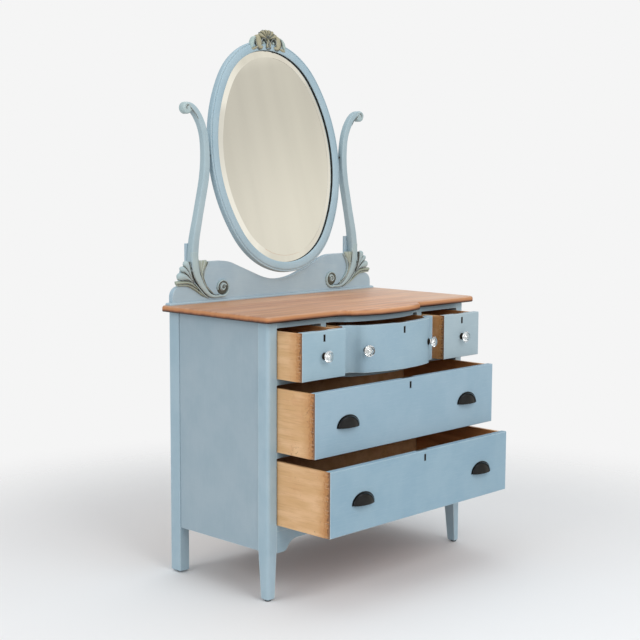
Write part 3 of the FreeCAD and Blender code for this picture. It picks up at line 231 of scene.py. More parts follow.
def new_tree(name, **inputs):
    """Tree with named inputs; gives the tree, its input node and its output node."""
    tree = bpy.data.node_groups.new(name, "GeometryNodeTree")
    tree.interface.new_socket("Geometry", in_out="OUTPUT", socket_type="NodeSocketGeometry")
    for label, kind in {"Geometry": "Geometry", **inputs, "Finish": "Material"}.items():
        tree.interface.new_socket(label, in_out="INPUT", socket_type="NodeSocket" + kind)
    return tree, add(tree, "NodeGroupInput").outputs, add(tree, "NodeGroupOutput")


def end_tree(tree, ins, outs, last):
    real = add(tree, "GeometryNodeRealizeInstances", [last])
    feed(tree, outs, [add(tree, "GeometryNodeSetMaterial", {"Geometry": real, "Material": ins["Finish"]})])
    return tree


def petal_tree():
    """One petal turned into a fan about a focus, longer away from the middle."""
    tree, ins, outs = new_tree("petal fan", Petals="Int", Step="Float", Growth="Float", Focus="Vector")
    line = add(tree, "GeometryNodeMeshLine", {"Count": ins["Petals"], "Offset": (0, 0, 0)})
    last = add(tree, "ShaderNodeMath", [ins["Petals"], 1.0], operation="SUBTRACT")
    middle = add(tree, "ShaderNodeMath", [last, 0.5], operation="MULTIPLY")
    away = add(tree, "ShaderNodeMath", [add(tree, "GeometryNodeInputIndex"), middle], operation="SUBTRACT")
    turn = add(tree, "ShaderNodeMath", [away, ins["Step"]], operation="MULTIPLY")
    far = add(tree, "ShaderNodeMath", [away], operation="ABSOLUTE")
    scale = add(tree, "ShaderNodeMath", [far, ins["Growth"], 1.0], operation="MULTIPLY_ADD")
    placed = add(tree, "GeometryNodeSetPosition", {"Geometry": line, "Position": ins["Focus"]})
    fan = add(tree, "GeometryNodeInstanceOnPoints", {
        "Points": placed, "Instance": ins["Geometry"], "Scale": scale,
        "Rotation": add(tree, "ShaderNodeCombineXYZ", {"Y": turn})})
    return end_tree(tree, ins, outs, fan)


def head_tree():
    """A low round head on every point of a mesh, for nails, brads and screws."""
    tree, ins, outs = new_tree("round heads", Radius="Float", Height="Float", Face="Vector")
    ball = add(tree, "GeometryNodeMeshUVSphere", {"Segments": 12, "Rings": 6, "Radius": ins["Radius"]})
    ratio = add(tree, "ShaderNodeMath", [ins["Height"], ins["Radius"]], operation="DIVIDE")
    flat = add(tree, "ShaderNodeCombineXYZ", [1.0, 1.0, ratio])
    low = add(tree, "GeometryNodeTransform", {"Geometry": ball, "Scale": flat})
    smooth = add(tree, "GeometryNodeSetShadeSmooth", [low])
    nails = add(tree, "GeometryNodeInstanceOnPoints", {
        "Points": ins["Geometry"], "Instance": smooth, "Rotation": ins["Face"]})
    return end_tree(tree, ins, outs, nails)


def sweep_tree():
    """A section carried along a path, larger where the path's girth is larger."""
    tree, ins, outs = new_tree("section along a path", Section="Object", Facing="Vector")
    path = add(tree, "GeometryNodeMeshToCurve", [ins["Geometry"]])
    turned = add(tree, "GeometryNodeSetCurveNormal", {"Curve": path, "Normal": ins["Facing"]}, mode="FREE")
    section = add(tree, "GeometryNodeObjectInfo", {"Object": ins["Section"]}).outputs["Geometry"]
    girth = add(tree, "GeometryNodeInputNamedAttribute", {"Name": "girth"}, data_type="FLOAT")
    skin = add(tree, "GeometryNodeCurveToMesh", {
        "Curve": turned, "Profile Curve": add(tree, "GeometryNodeMeshToCurve", [section]), "Scale": girth,
        "Fill Caps": True})
    return end_tree(tree, ins, outs, skin)


def grown(piece, tree_name, maker, **settings):
    """Runs a tree on a piece, making the tree when it is first needed, and keeps the result as its mesh."""
    tree = bpy.data.node_groups.get(tree_name) or maker()
    modifier = piece.modifiers.new("made", "NODES")
    modifier.node_group = tree
    for item in tree.interface.items_tree:
        if item.item_type == "SOCKET" and item.in_out == "INPUT" and item.name in settings:
            modifier[item.identifier] = settings[item.name]
    piece.update_tag()
    bpy.context.view_layer.update()
    evaluated = piece.evaluated_get(bpy.context.evaluated_depsgraph_get())
    old, piece.data = piece.data, bpy.data.meshes.new_from_object(evaluated)
    piece.modifiers.remove(modifier)
    bpy.data.meshes.remove(old)
    return piece


def heads(name, points, radius, height, face, finish_name, body):
    """Round heads at points, facing the way that the Euler turn face gives."""
    piece = shown(name, plain_mesh(name, [place(*p) for p in points]))
    grown(piece, "round heads", head_tree, Radius=radius * MM, Height=height * MM, Face=face,
          Finish=finish(finish_name))
    return settle(piece, body)


def line_object(name, points, closed):
    """Edges through points that are already in metres."""
    count = len(points)
    edges = [(n, (n + 1) % count) for n in range(count if closed else count - 1)]
    return shown(name, plain_mesh(name, points, edges=edges))


def swept(name, path, girths, outline, facing, finish_name, closed, sharp):
    """Piece made by carrying an outline of (depth, inward) along a path of places."""
    piece = line_object(name, path, closed)
    mark(piece, "girth", girths)
    section = line_object(name + "_section", [(a * MM, b * MM, 0) for a, b in outline], True)
    grown(piece, "section along a path", sweep_tree, Section=section, Facing=facing,
          Finish=finish(finish_name))
    bpy.data.objects.remove(section)
    tidy_mesh(piece.data, sharp)
    return piece


# ---- finishes --------------------------------------------------------------------------------------------

class Surface:
    """A material in the making: its nodes and the colour laid down so far."""

    def __init__(self, name, colour):
        self.material = bpy.data.materials.new(name)
        self.material.use_nodes = True
        self.tree = self.material.node_tree
        self.tree.nodes.clear()
        self.shader = add(self.tree, "ShaderNodeBsdfPrincipled")
        self.output = add(self.tree, "ShaderNodeOutputMaterial", {"Surface": self.shader})
        self.coords = add(self.tree, "ShaderNodeTexCoord").outputs["Object"]
        self.colour = linear(colour) if isinstance(colour, str) else colour

    def pattern(self, size_mm, stretch=(1, 1, 1), detail=4.0, rough=0.55):
        """Noise whose features are size_mm across, longer where stretch is larger."""
        scale = [1 / (size_mm * MM * s) for s in stretch]
        mapped = add(self.tree, "ShaderNodeMapping", {"Vector": self.coords, "Scale": scale})
        return add(self.tree, "ShaderNodeTexNoise", {
            "Vector": mapped, "Scale": 1.0, "Detail": detail, "Roughness": rough})

    def over(self, colour, value, low, high, most=1.0):
        """Lays on a colour: none of it where the value is at low, and the share most where it is at high."""
        share = add(self.tree, "ShaderNodeMapRange", [value, low, high, 0.0, most], **SMOOTH)
        colour = linear(colour) if isinstance(colour, str) else colour
        mix = add(self.tree, "ShaderNodeMix", {0: share, 6: self.colour, 7: colour}, data_type="RGBA")
        self.colour = mix.outputs[2]

    def on_edges(self, colour, width_mm, most):
        """Lays on a colour where an edge is exposed: where a rounded normal leaves the true one."""
        rounded = add(self.tree, "ShaderNodeBevel", {"Radius": width_mm * MM}, samples=6)
        normal = add(self.tree, "ShaderNodeNewGeometry").outputs["Normal"]
        likeness = add(self.tree, "ShaderNodeVectorMath", [rounded, normal], operation="DOT_PRODUCT")
        self.over(colour, likeness.outputs["Value"], 0.995, 0.90, most)

    def in_hollows(self, colour, reach_mm, low, high, most, samples=6):
        """Lays on a colour in hollows, by how open a spot is within the reach; low and high as for over."""
        open_air = add(self.tree, "ShaderNodeAmbientOcclusion", {"Distance": reach_mm * MM}, samples=samples)
        self.over(colour, open_air.outputs["AO"], low, high, most)

    def finished(self, inputs, height=None, depth_mm=0.0):
        """Joins the colour, the other inputs and the bumps to the shader, and gives the material."""
        if height is not None:
            inputs["Normal"] = add(self.tree, "ShaderNodeBump", {
                "Height": height, "Strength": 1.0, "Distance": depth_mm * MM})
        feed(self.tree, self.shader, {"Base Color": self.colour, **inputs})
        return self.material


def along_grain(axis, length):
    """Stretch of a pattern that runs along X, Y or Z."""
    return tuple(length if letter == axis else 1 for letter in "XYZ")


def chalk_paint(name, tones, along="Z", glaze=0.0, wear=0.75, keyhole=None):
    """Brushed chalk paint: matt, nearly even, with faint strokes and edges rubbed back to pale undercoat. The
    strokes are drawn 2.4 mm wide, coarser than a brush leaves, so that they show."""
    chosen = bpy.context.scene.dresser_finish
    skin = Surface(name, tones[0])
    tree = skin.tree
    strokes = skin.pattern(2.4, along_grain(along, 30), 5.0, 0.7)
    skin.over(tones[1], skin.pattern(120.0, detail=3.0, rough=0.6), 0.34, 0.66)
    skin.over(tones[2], strokes, 0.46, 0.70, 0.35)
    patchy = skin.pattern(14.0, detail=6.0, rough=0.75)
    rubbed = add(tree, "ShaderNodeMapRange", [patchy, 0.36, 0.50, 0.35 * wear, wear], **SMOOTH)
    skin.on_edges(chosen.rubbed_edge, 2.8, rubbed)
    if glaze:
        skin.in_hollows(chosen.carving_glaze, 12, 0.85, 0.35, glaze, 8)
        # painted shade: near black in the deepest creases of the carving, within 7 mm
        skin.in_hollows("#39392F", 7, 0.46, 0.12, 0.9 * glaze, 8)
    # painted shade round the keyhole: the paint turns near black within about two millimetres of the hole
    if keyhole:
        spot = add(tree, "ShaderNodeSeparateXYZ", [skin.coords])
        beyond = []
        for axis, middle, half in zip("XZ", keyhole, KEYHOLE_HALF):
            off = add(tree, "ShaderNodeMath", [spot.outputs[axis], middle], operation="SUBTRACT")
            off = add(tree, "ShaderNodeMath", [off], operation="ABSOLUTE")
            beyond.append(add(tree, "ShaderNodeMath", [off, half * MM], operation="SUBTRACT"))
        near = add(tree, "ShaderNodeMath", beyond, operation="MAXIMUM")
        skin.over("#2B2622", near, 0.0026, 0.0016)
    # painted shade: blue-grey darkening in corners and recesses, within 20 mm
    skin.in_hollows("#56626C", 20, 0.72, 0.30, 0.35)
    return skin.finished({"Roughness": 0.60, "IOR": 1.47}, strokes, 0.06)


def oiled_oak(name):
    """Sanded and oiled oak: warm streaks along the boards, painted shade towards the left end and a painted
    sheen towards the right one, a painted highlight along the edges, and a moulded edge darkened below as
    painted shade.
    Its pores are drawn coarser than they are, so that they show."""
    chosen = bpy.context.scene.dresser_finish
    skin = Surface(name, chosen.oak_light)
    streaks = skin.pattern(17.0, along_grain("X", 30)[:2] + (6,), 4.0, 0.62)
    pores = skin.pattern(1.5, along_grain("X", 26), 3.0, 0.65)
    skin.over(chosen.oak_dark, skin.pattern(58.0, along_grain("X", 9), 2.0, 0.5), 0.38, 0.60)
    skin.over("#E6B28A", streaks, 0.42, 0.60, 0.65)
    skin.over("#BD8B6E", streaks, 0.58, 0.72, 0.8)
    skin.over("#7C4C34", pores, 0.54, 0.70, 0.45)
    spot = add(skin.tree, "ShaderNodeSeparateXYZ", [skin.coords]).outputs
    # painted light: shade towards the left end, and a paler sheen towards the right end
    skin.over("#8F6850", spot["X"], 0.05, -0.50, 0.40)
    skin.over("#E3C6AE", spot["X"], 0.10, 0.50, 0.35)
    height = add(skin.tree, "ShaderNodeMath", [streaks, 6 * MM, spot["Z"]], operation="MULTIPLY_ADD")
    # the moulded edge: orange under the top surface, then browner and near black lower down as painted shade
    for tone, high, low, most in (("#C4834F", 1.5, -2, 0.85), ("#8A5030", -5, -11, 0.9),
                                  ("#2E170D", -10, -14, 1.0)):
        skin.over(tone, height, (TABLE_Z + high) * MM, (TABLE_Z + low) * MM, most)
    # painted highlight: pale orange along the edges
    skin.on_edges("#E6AE78", 2.0, 0.35)
    gloss = add(skin.tree, "ShaderNodeMapRange", [streaks, 0.3, 0.7, 0.38, 0.50], **SMOOTH)
    return skin.finished({"Roughness": gloss, "IOR": 1.48}, pores, 0.10)


def bare_timber(name, light, dark, along, stain=None, rough=0.7, corner_shade=0.6):
    """Unfinished board: grain along one way, water marks where stain is a colour, and painted shade in its
    corners.
    The pores are drawn coarser than they are, so that they show."""
    skin = Surface(name, light)
    long_way = along_grain(along, 28)
    pores = skin.pattern(1.3, long_way, 3.0, 0.7)
    skin.over(dark, skin.pattern(38.0, along_grain(along, 9), 3.0), 0.36, 0.64)
    skin.over(dark, skin.pattern(5.0, long_way, 4.0, 0.62), 0.45, 0.72, 0.45)
    skin.over("#5A3A22", pores, 0.60, 0.76, 0.3)
    if stain:
        skin.over(stain, skin.pattern(70.0, (1, 1, 1.4), 5.0, 0.7), 0.55, 0.70, 0.5)
    # painted shade: dark brown in corners and recesses, within 18 mm
    skin.in_hollows("#35190F", 18, 0.70, 0.25, corner_shade)
    return skin.finished({"Roughness": rough, "IOR": 1.5}, pores, 0.12)


def maple_side(name):
    """Old maple drawer side: pale, browner where hands and wax reached it behind the front, with ragged dark
    marks along the joint. The mark behind_face gives millimetres behind the painted face."""
    skin = Surface(name, "#EABF8F")
    tree = skin.tree
    behind = add(tree, "ShaderNodeAttribute", attribute_name="behind_face").outputs["Fac"]
    grain = skin.pattern(4.0, (1, 24, 1), 4.0, 0.62)
    skin.over("#DCAE7A", skin.pattern(30.0, (1, 6, 1), 3.0), 0.34, 0.66)
    skin.over("#BE8B5C", grain, 0.46, 0.72, 0.4)
    skin.over("#D8A070", skin.pattern(75.0, (1, 1, 1.3), 3.0, 0.6), 0.52, 0.70, 0.5)
    blotches = skin.pattern(22.0, (1, 1.2, 1), 5.0, 0.7)
    handled = add(tree, "ShaderNodeMath", [blotches, 60.0, behind], operation="MULTIPLY_ADD")
    skin.over("#C58A4E", handled, 100.0, 40.0, 0.75)
    ragged = skin.pattern(7.0, detail=5.0, rough=0.75)
    joint = add(tree, "ShaderNodeMath", [ragged, 46.0, behind], operation="MULTIPLY_ADD")
    skin.over("#AD713A", joint, 54.0, 44.0, 0.55)
    skin.over("#6B3F1E", joint, 37.0, 31.0, 0.85)
    off = add(tree, "ShaderNodeMath", [skin.pattern(34.0, detail=3.0, rough=0.6), 0.5], operation="SUBTRACT")
    veins = add(tree, "ShaderNodeMath", [off], operation="ABSOLUTE")
    patch = skin.pattern(120.0, detail=1.0, rough=0.5)
    most = add(tree, "ShaderNodeMapRange", [patch, 0.60, 0.66, 0.0, 0.7], **SMOOTH)
    skin.over("#8B5A33", veins, 0.010, 0.003, most)
    skin.over("#8A5C38", skin.pattern(9.0, (1, 0.8, 1.6), 4.0, 0.8), 0.64, 0.70, 0.65)
    # painted shade: dark brown in corners and gaps, within 10 mm
    skin.in_hollows("#35190F", 10, 0.80, 0.30, 0.8)
    skin.on_edges("#EBCBA2", 2.2, 0.5)
    return skin.finished({"Roughness": 0.5, "IOR": 1.5}, grain, 0.10)


def fitting(name, colour, metallic, rough, speckle=0.0, speckle_colour=None, sheen=0.5):
    """Cast or sheet metal, black lacquer or rubber: a slightly uneven sheen and, where asked, rust or
    tarnish in spots."""
    skin = Surface(name, colour)
    if speckle:
        skin.over(speckle_colour, skin.pattern(2.5, rough=0.7), 0.55, 0.7, speckle)
    cloud = skin.pattern(7.0, detail=5.0, rough=0.65)
    gloss = add(skin.tree, "ShaderNodeMapRange", [cloud, 0.3, 0.7, rough * 0.8, rough * 1.25], **SMOOTH)
    return skin.finished({"Metallic": metallic, "Specular IOR Level": sheen, "Roughness": gloss}, cloud, 0.05)


def clear_glass(name):
    """Pressed glass: clear, with sharp facets that flash white."""
    skin = Surface(name, "#FAFCFC")
    return skin.finished({"Transmission Weight": 1.0, "Roughness": 0.02, "IOR": 1.52},
                         skin.pattern(9.0), 0.05)


def silvered_glass(name):
    """Old silvered plate: a nearly perfect reflection, faintly warm, with a little haze in places."""
    skin = Surface(name, bpy.context.scene.dresser_finish.mirror_tint)
    haze = skin.pattern(45.0, rough=0.6)
    gloss = add(skin.tree, "ShaderNodeMapRange", [haze, 0.4, 0.7, 0.02, 0.05], **SMOOTH)
    return skin.finished({"Metallic": 1.0, "Roughness": gloss})


# Tones of the one paint on each drawer front, set lighter or darker front by front as painted light and shade.
FRONT_TONES = {
    "left": ("#97B3C1", "#9DB8C5", "#ABC3CC"),
    "centre": ("#92AEBE", "#98B3C1", "#A6BEC8"),
    "right": ("#A3B7C0", "#A9BCC4", "#B5C6CC"),
    "middle": ("#90ADBE", "#97B2C2", "#A5BECA"),
    "bottom": ("#89A8BA", "#91AEBE", "#A0BAC6"),
}
RECIPES = {
    # blue-grey paint that differs a little from board to board, partly as painted light and shade on each
    "chalk_paint_sides": (chalk_paint, ("#9CB0BB", "#A3B5BF", "#ADBEC6")),
    "chalk_paint_posts": (chalk_paint, ("#A0B9C6", "#A8BFCB", "#B3C9D2")),
    "chalk_paint_rails": (chalk_paint, ("#98B2BF", "#A0B7C3", "#ADC2CB"), "X"),
    "chalk_paint_dividers": (chalk_paint, ("#AFC0C6", "#C6CFCE", "#D8DCD6")),
    "chalk_paint_standards": (chalk_paint, ("#A3B9C1", "#ABC0C7", "#B9CCD0")),
    "chalk_paint_board": (chalk_paint, ("#A4BCCA", "#ACC3CF", "#B7CBD3"), "X"),
    "chalk_paint_frame": (chalk_paint, ("#9EB8C4", "#A6BEC9", "#B3C7D0")),
    # carving: paint with wax in the hollows, greenish or dull gold where rubbed, and painted shade, near
    # black, deep in the hollows and in the dark strips along them
    "chalk_paint_carving": (chalk_paint, ("#A4BABF", "#AFC2C3", "#C2CFC9"), "Z", 0.55, 0.6),
    "chalk_paint_crown": (chalk_paint, ("#A6BAB6", "#AEC0BA", "#BACAC2"), "Z", 0.6, 0.6),
    "glazed_olive": (chalk_paint, ("#9AA595", "#A6B0A1", "#8F9A8B"), "Z", 0.7, 0.6),
    "rubbed_gold": (chalk_paint, ("#A19B7F", "#ADA88C", "#B7B49C"), "Z", 1.0, 0.6),
    "waxed_hollow": (chalk_paint, ("#42463F", "#54564A", "#6B6E5F")),
    # wood: oiled outside, bare or stained brown inside
    "oiled_oak": (oiled_oak,),
    "aged_maple": (maple_side,),
    "bare_maple": (bare_timber, "#CFA376", "#B98A5A", "X", "#A8683B", 0.6),
    "bare_pine_across": (bare_timber, "#B48A5E", "#94693F", "X"),
    "bare_pine_runners": (bare_timber, "#A98055", "#8A6038", "Y"),
    "bare_pine_upright": (bare_timber, "#AD8358", "#8E653D", "Z"),
    "stained_inside": (bare_timber, "#9C5A38", "#7F4529", "Y", "#633520", 0.55, 0.2),
    "waxed_inside": (bare_timber, "#D99C66", "#BF7F4C", "Y", "#A8683B", 0.5, 0.2),
    "stained_carcase": (bare_timber, "#9A5A38", "#7D452A", "X", None, 0.6, 0.2),
    # glass, and fittings: black with a soft sheen, bright and tarnished metal, matt rubber
    "silvered_glass": (silvered_glass,),
    "pressed_glass": (clear_glass,),
    "blackened_iron": (fitting, "#060608", 0.0, 0.20, 0.2, "#101012", 0.30),
    "keyhole_shadow": (fitting, "#050506", 0.0, 0.9),
    "bright_nickel": (fitting, "#E8E8E6", 1.0, 0.22),
    "aged_brass": (fitting, "#4B3D2A", 1.0, 0.38, 0.5, "#1E1911"),
    "darkened_brass": (fitting, "#241F1A", 0.8, 0.36, 0.4, "#0F0D0B"),
    "lock_steel": (fitting, "#77736C", 1.0, 0.40, 0.6, "#4A3B2E"),
    "glide_rubber": (fitting, "#221E1B", 0.0, 0.55),
}
FINISHES = {}


def finish(name):
    """A finish by name, made when it is first asked for."""
    if name not in FINISHES:
        maker, *details = RECIPES[name]
        FINISHES[name] = maker(name, *details)
    return FINISHES[name]


# ---- what a user may change ------------------------------------------------------------------------------

class DresserFinish(bpy.types.PropertyGroup):
    """Colours that a decorator would change."""

    rubbed_edge: bpy.props.FloatVectorProperty(
        name="Rubbed edge", description="Paint worn thin on the edges", size=4, subtype="COLOR",
        default=linear("#D3DFE2"))
    carving_glaze: bpy.props.FloatVectorProperty(
        name="Carving glaze", description="Wax left in the hollows of the carving", size=4, subtype="COLOR",
        default=linear("#8F8A62"))
    oak_light: bpy.props.FloatVectorProperty(
        name="Oak, light", description="Light bands of the top", size=4, subtype="COLOR",
        default=linear("#D2A27C"))
    oak_dark: bpy.props.FloatVectorProperty(
        name="Oak, dark", description="Dark bands of the top", size=4, subtype="COLOR",
        default=linear("#B5805F"))
    mirror_tint: bpy.props.FloatVectorProperty(
        name="Mirror tint", description="Colour of the silvering", size=4, subtype="COLOR",
        default=linear("#F4F2EC"))


class DresserSizes(bpy.types.PropertyGroup):
    """Sizes of the finer work."""

    edge_softness: bpy.props.FloatProperty(
        name="Edge softness", description="Width of the worn edges of the boards", default=0.0009, min=0.0001,
        unit="LENGTH")
    frame_steps: bpy.props.IntProperty(
        name="Frame steps", description="Divisions round the oval frame", default=220, min=40)
    petal_count: bpy.props.IntProperty(
        name="Petals", description="Petals in the shell over the mirror", default=6, min=3)
    nail_pitch: bpy.props.FloatProperty(
        name="Nail pitch", description="Between nails round the back board", default=0.11, unit="LENGTH")
    knob_facets: bpy.props.IntProperty(
        name="Knob facets", description="Facets round each glass knob", default=10, min=6)


class DresserStage(bpy.types.PropertyGroup):
    """Camera and light."""

    camera_place: bpy.props.FloatVectorProperty(
        name="Camera", description="Where the camera stands", size=3, subtype="TRANSLATION", unit="LENGTH",
        default=tuple(place(-3172.5, -3059.1, 1334.45)))
    yaw: bpy.props.FloatProperty(
        name="Yaw", description="Heading of the camera, from +Y towards +X", subtype="ANGLE",
        default=math.radians(45.945))
    pitch: bpy.props.FloatProperty(
        name="Pitch", description="How far the camera looks up", subtype="ANGLE", default=math.radians(-6.51))
    roll: bpy.props.FloatProperty(
        name="Roll", description="Turn about the line of sight", subtype="ANGLE", default=math.radians(0.255))
    room_light: bpy.props.FloatProperty(
        name="Room light", description="Strength of the even light from all round", default=0.60, min=0.0)
    key_power: bpy.props.FloatProperty(
        name="Key light", description="Power of the large soft lamp", default=75.0, unit="POWER")
    fill_power: bpy.props.FloatProperty(
        name="Fill light", description="Power of the lamp on the other side", default=34.0, unit="POWER")
    top_power: bpy.props.FloatProperty(
        name="Top light", description="Power of the lamp overhead", default=26.0, unit="POWER")


# ---- outlines and forms ----------------------------------------------------------------------------------

def arc(steps, turn=2 * math.pi, closed=True):
    """Angles from nought, steps of them round a whole turn, or one more along an open arc."""
    return [turn * k / steps for k in range(steps if closed else steps + 1)]


def grid(rows, count, closed):
    """Faces between rows of count points; closed joins the end of each row to its start."""
    faces = []
    for n in range(rows - 1):
        for k in range(count if closed else count - 1):
            a, b = n * count + k, n * count + (k + 1) % count
            faces.append((a, b, b + count, a + count))
    return faces


def lofted(rings, slot=0):
    """Closed skin over rings of equal count, with flat ends."""
    count, points = len(rings[0]), [Vector(p) for ring in rings for p in ring]
    ends = [tuple(reversed(range(count))), tuple(range(len(points) - count, len(points)))]
    faces = grid(len(rings), count, True) + ends
    return Form(points, faces, [slot] * len(faces))


def relief(rows, ground, sink=2.0, across=9, fullness=0.8, slot=0):
    """Rounded run through rows of (x, z, width, height), standing forward of the plane y = ground; squarer
    when fullness is small."""
    rings = []
    for n, (x, z, width, height) in enumerate(rows):
        before, after = rows[max(n - 1, 0)], rows[min(n + 1, len(rows) - 1)]
        dx, dz = after[0] - before[0], after[1] - before[1]
        length = math.hypot(dx, dz) or 1.0
        nx, nz = -dz / length, dx / length
        ring = []
        for k, a in enumerate(arc(across - 1, math.pi, False)):
            off = math.cos(a) * width / 2
            rise = math.sin(a) ** fullness * height if 0 < k < across - 1 else 0.0
            ring.append((x + nx * off, ground - rise, z + nz * off))
        ring += [(x + nx * side * width / 2, ground + sink, z + nz * side * width / 2) for side in SIDES]
        rings.append(ring)
    return lofted(rings, slot)


def smooth_path(points, steps):
    """Catmull-Rom curve through a few points; further numbers in a point are carried along."""
    ends = [points[0]] + list(points) + [points[-1]]
    path = []
    for four in zip(ends, ends[1:], ends[2:], ends[3:]):
        for k in range(steps):
            t = k / steps
            path.append(tuple(
                0.5 * (2 * p1 + (p2 - p0) * t + (2 * p0 - 5 * p1 + 4 * p2 - p3) * t * t
                       + (3 * p1 - p0 - 3 * p2 + p3) * t ** 3) for p0, p1, p2, p3 in zip(*four)))
    return path + [tuple(points[-1])]


def run(points, ground, sink, steps, across=9, fullness=0.8, slot=0):
    """Relief through a few points of (x, z, width, height)."""
    rows = [(x, z, max(width, 0.3), max(height, 0.2)) for x, z, width, height in smooth_path(points, steps)]
    return relief(rows, ground, sink, across, fullness, slot)


def carved(runs, x0, z0, ground, sink=2.0, steps=6, across=9):
    """Form of runs of (fullness, slot, points), whose points are laid out from x0, z0."""
    form = Form()
    for fullness, slot, points in runs:
        moved = [(x0 + x, z0 + z, width, height) for x, z, width, height in points]
        form.join(run(moved, ground, sink, steps, across, fullness, slot))
    return form


def spiral(x, z, start, turns, radius, eye, width, height, steps):
    """Points of (x, z, width, height) winding clockwise in from radius to eye."""
    rows = []
    for n in range(steps + 1):
        t = n / steps
        angle = math.radians(start) - t * turns * 2 * math.pi
        r = radius + (eye - radius) * t ** 0.8
        rows.append((x + r * math.cos(angle), z + r * math.sin(angle), width[0] + (width[1] - width[0]) * t,
                     height[0] + (height[1] - height[0]) * t))
    return rows


def dome(x, y, z, radius, height, slot=0, steps=14, rings=6):
    """Round button on the plane at y, standing forward by height."""
    curve = [(radius * math.sin(a), y - height * math.cos(a)) for a in arc(rings, math.pi / 2, False)]
    return lofted([[(x + r * math.cos(b), depth, z + r * math.sin(b)) for b in arc(steps)]
                   for r, depth in curve + [(radius, y + 1.5)]], slot)


def petal(reach, width, height, tip):
    """Petal from (0, 0) straight up to reach, narrow at its root, widest at tip, ridged along the middle."""
    rows = []
    for n in range(13):
        t = n / 12
        if t < tip:
            share = 0.16 + 0.84 * (t / tip) ** 0.9
        else:
            share = math.sqrt(max(1 - ((t - tip) / (1 - tip)) ** 2, 0.0))
        rise = height * (0.35 + 0.65 * math.sin(math.pi * t * 0.62)) * (1 if t < 0.93 else 0.72)
        rows.append((0.0, reach * t, max(width * share, 0.8), rise))
    return relief(rows, 0.0)


def squared(half, radius, steps=5):
    """Outline of a square bar with softened arrises."""
    points = []
    for corner, (across, deep) in enumerate(((1, 1), (-1, 1), (-1, -1), (1, -1))):
        for a in arc(steps, math.pi / 2, False):
            a += math.pi / 2 * corner
            points.append((across * (half - radius) + radius * math.cos(a),
                           deep * (half - radius) + radius * math.sin(a)))
    return points


def oval(angle):
    """Centre, radius of the sight edge and outward direction at an angle round the four-centre oval."""
    rise = SIGHT_HALF_HEIGHT - END_RADIUS
    side = (rise ** 2 + SIGHT_HALF_WIDTH ** 2 - END_RADIUS ** 2) / (2 * (SIGHT_HALF_WIDTH - END_RADIUS))
    inset = side - SIGHT_HALF_WIDTH
    c, s = math.cos(angle), math.sin(angle)
    if abs(math.atan2(s, abs(c))) > math.atan2(rise, inset):
        return (0.0, math.copysign(rise, s)), END_RADIUS, (c, s)
    return (math.copysign(inset, -c), 0.0), side, (c, s)


def oval_ring(grow, y, steps, start=0.0):
    """Points round the oval, larger than the sight size by grow, from start steps past its right end."""
    ring = []
    for n in range(steps):
        (cx, cz), radius, (dx, dz) = oval(2 * math.pi * (n + start) / steps)
        ring.append((cx + dx * (radius + grow), PIVOT_Y + y, PIVOT_Z + cz + dz * (radius + grow)))
    return ring


def serpentine(half_width, flat_y, steps):
    """Points from left to right along the front: flat, hollow, shoulder, broad bow, and the same back."""
    turn, steep = math.radians(18), math.radians(60)
    tight = (BOW_DEPTH - BOW_RADIUS * (1 - math.cos(turn))) / (math.cos(turn) - 2 * math.cos(steep) + 1)
    right = [(0.0, BOW_DEPTH)]
    for radius, start, end in ((BOW_RADIUS, 0.0, turn), (tight, turn, steep), (-tight, steep, 0.0)):
        x0, depth = right[-1]
        for k in range(1, steps + 1):
            a = start + (end - start) * k / steps
            right.append((x0 + radius * (math.sin(a) - math.sin(start)),
                          depth - radius * (math.cos(start) - math.cos(a))))
    left = [(-half_width, flat_y)] + [(-x, flat_y - depth) for x, depth in reversed(right[1:])]
    return left + [(x, flat_y - depth) for x, depth in right] + [(half_width, flat_y)]


def front_y(x):
    """Face of the shut serpentine front at x."""
    points = serpentine(222.0, FRONT_Y, 12)
    for (xa, ya), (xb, yb) in zip(points, points[1:]):
        if xa <= x <= xb:
            return ya + (yb - ya) * (x - xa) / (xb - xa)
    return FRONT_Y


# ---- stage -----------------------------------------------------------------------------------------------

def studio_camera(settings):
    focal_pixels, picture_pixels = 1288.185, 640
    camera = bpy.data.cameras.new("camera")
    camera.sensor_width, camera.clip_end = 36.0, 60
    camera.lens = focal_pixels / picture_pixels * camera.sensor_width
    yaw, pitch, roll = settings.yaw, settings.pitch, settings.roll
    forward = Vector((math.sin(yaw) * math.cos(pitch), math.cos(yaw) * math.cos(pitch), math.sin(pitch)))
    right = Vector((math.cos(yaw), -math.sin(yaw), 0))
    up = right.cross(forward)
    side = right * math.cos(roll) + up * math.sin(roll)
    top = up * math.cos(roll) - right * math.sin(roll)
    turn = Matrix((side, top, -forward)).transposed().to_4x4()
    made = shown("camera", camera)
    made.matrix_world = Matrix.Translation(Vector(settings.camera_place)) @ turn
    return made


def studio_world(strength):
    """Even light of the given strength, and a pale backdrop where the world is seen or reflected."""
    world = bpy.data.worlds.new("studio")
    world.use_nodes = True
    tree = world.node_tree
    tree.nodes.clear()
    ray = add(tree, "ShaderNodeLightPath").outputs
    seen = ray["Is Camera Ray"]
    for other in ("Is Transmission Ray", "Is Glossy Ray"):
        seen = add(tree, "ShaderNodeMath", [seen, ray[other]], operation="MAXIMUM")
    ambient = add(tree, "ShaderNodeBackground", [linear("#F2F5F8"), strength])
    backdrop = add(tree, "ShaderNodeBackground", [linear("#F5F5F5"), 1.0])
    add(tree, "ShaderNodeOutputWorld", [add(tree, "ShaderNodeMixShader", [seen, ambient, backdrop])])
    return world


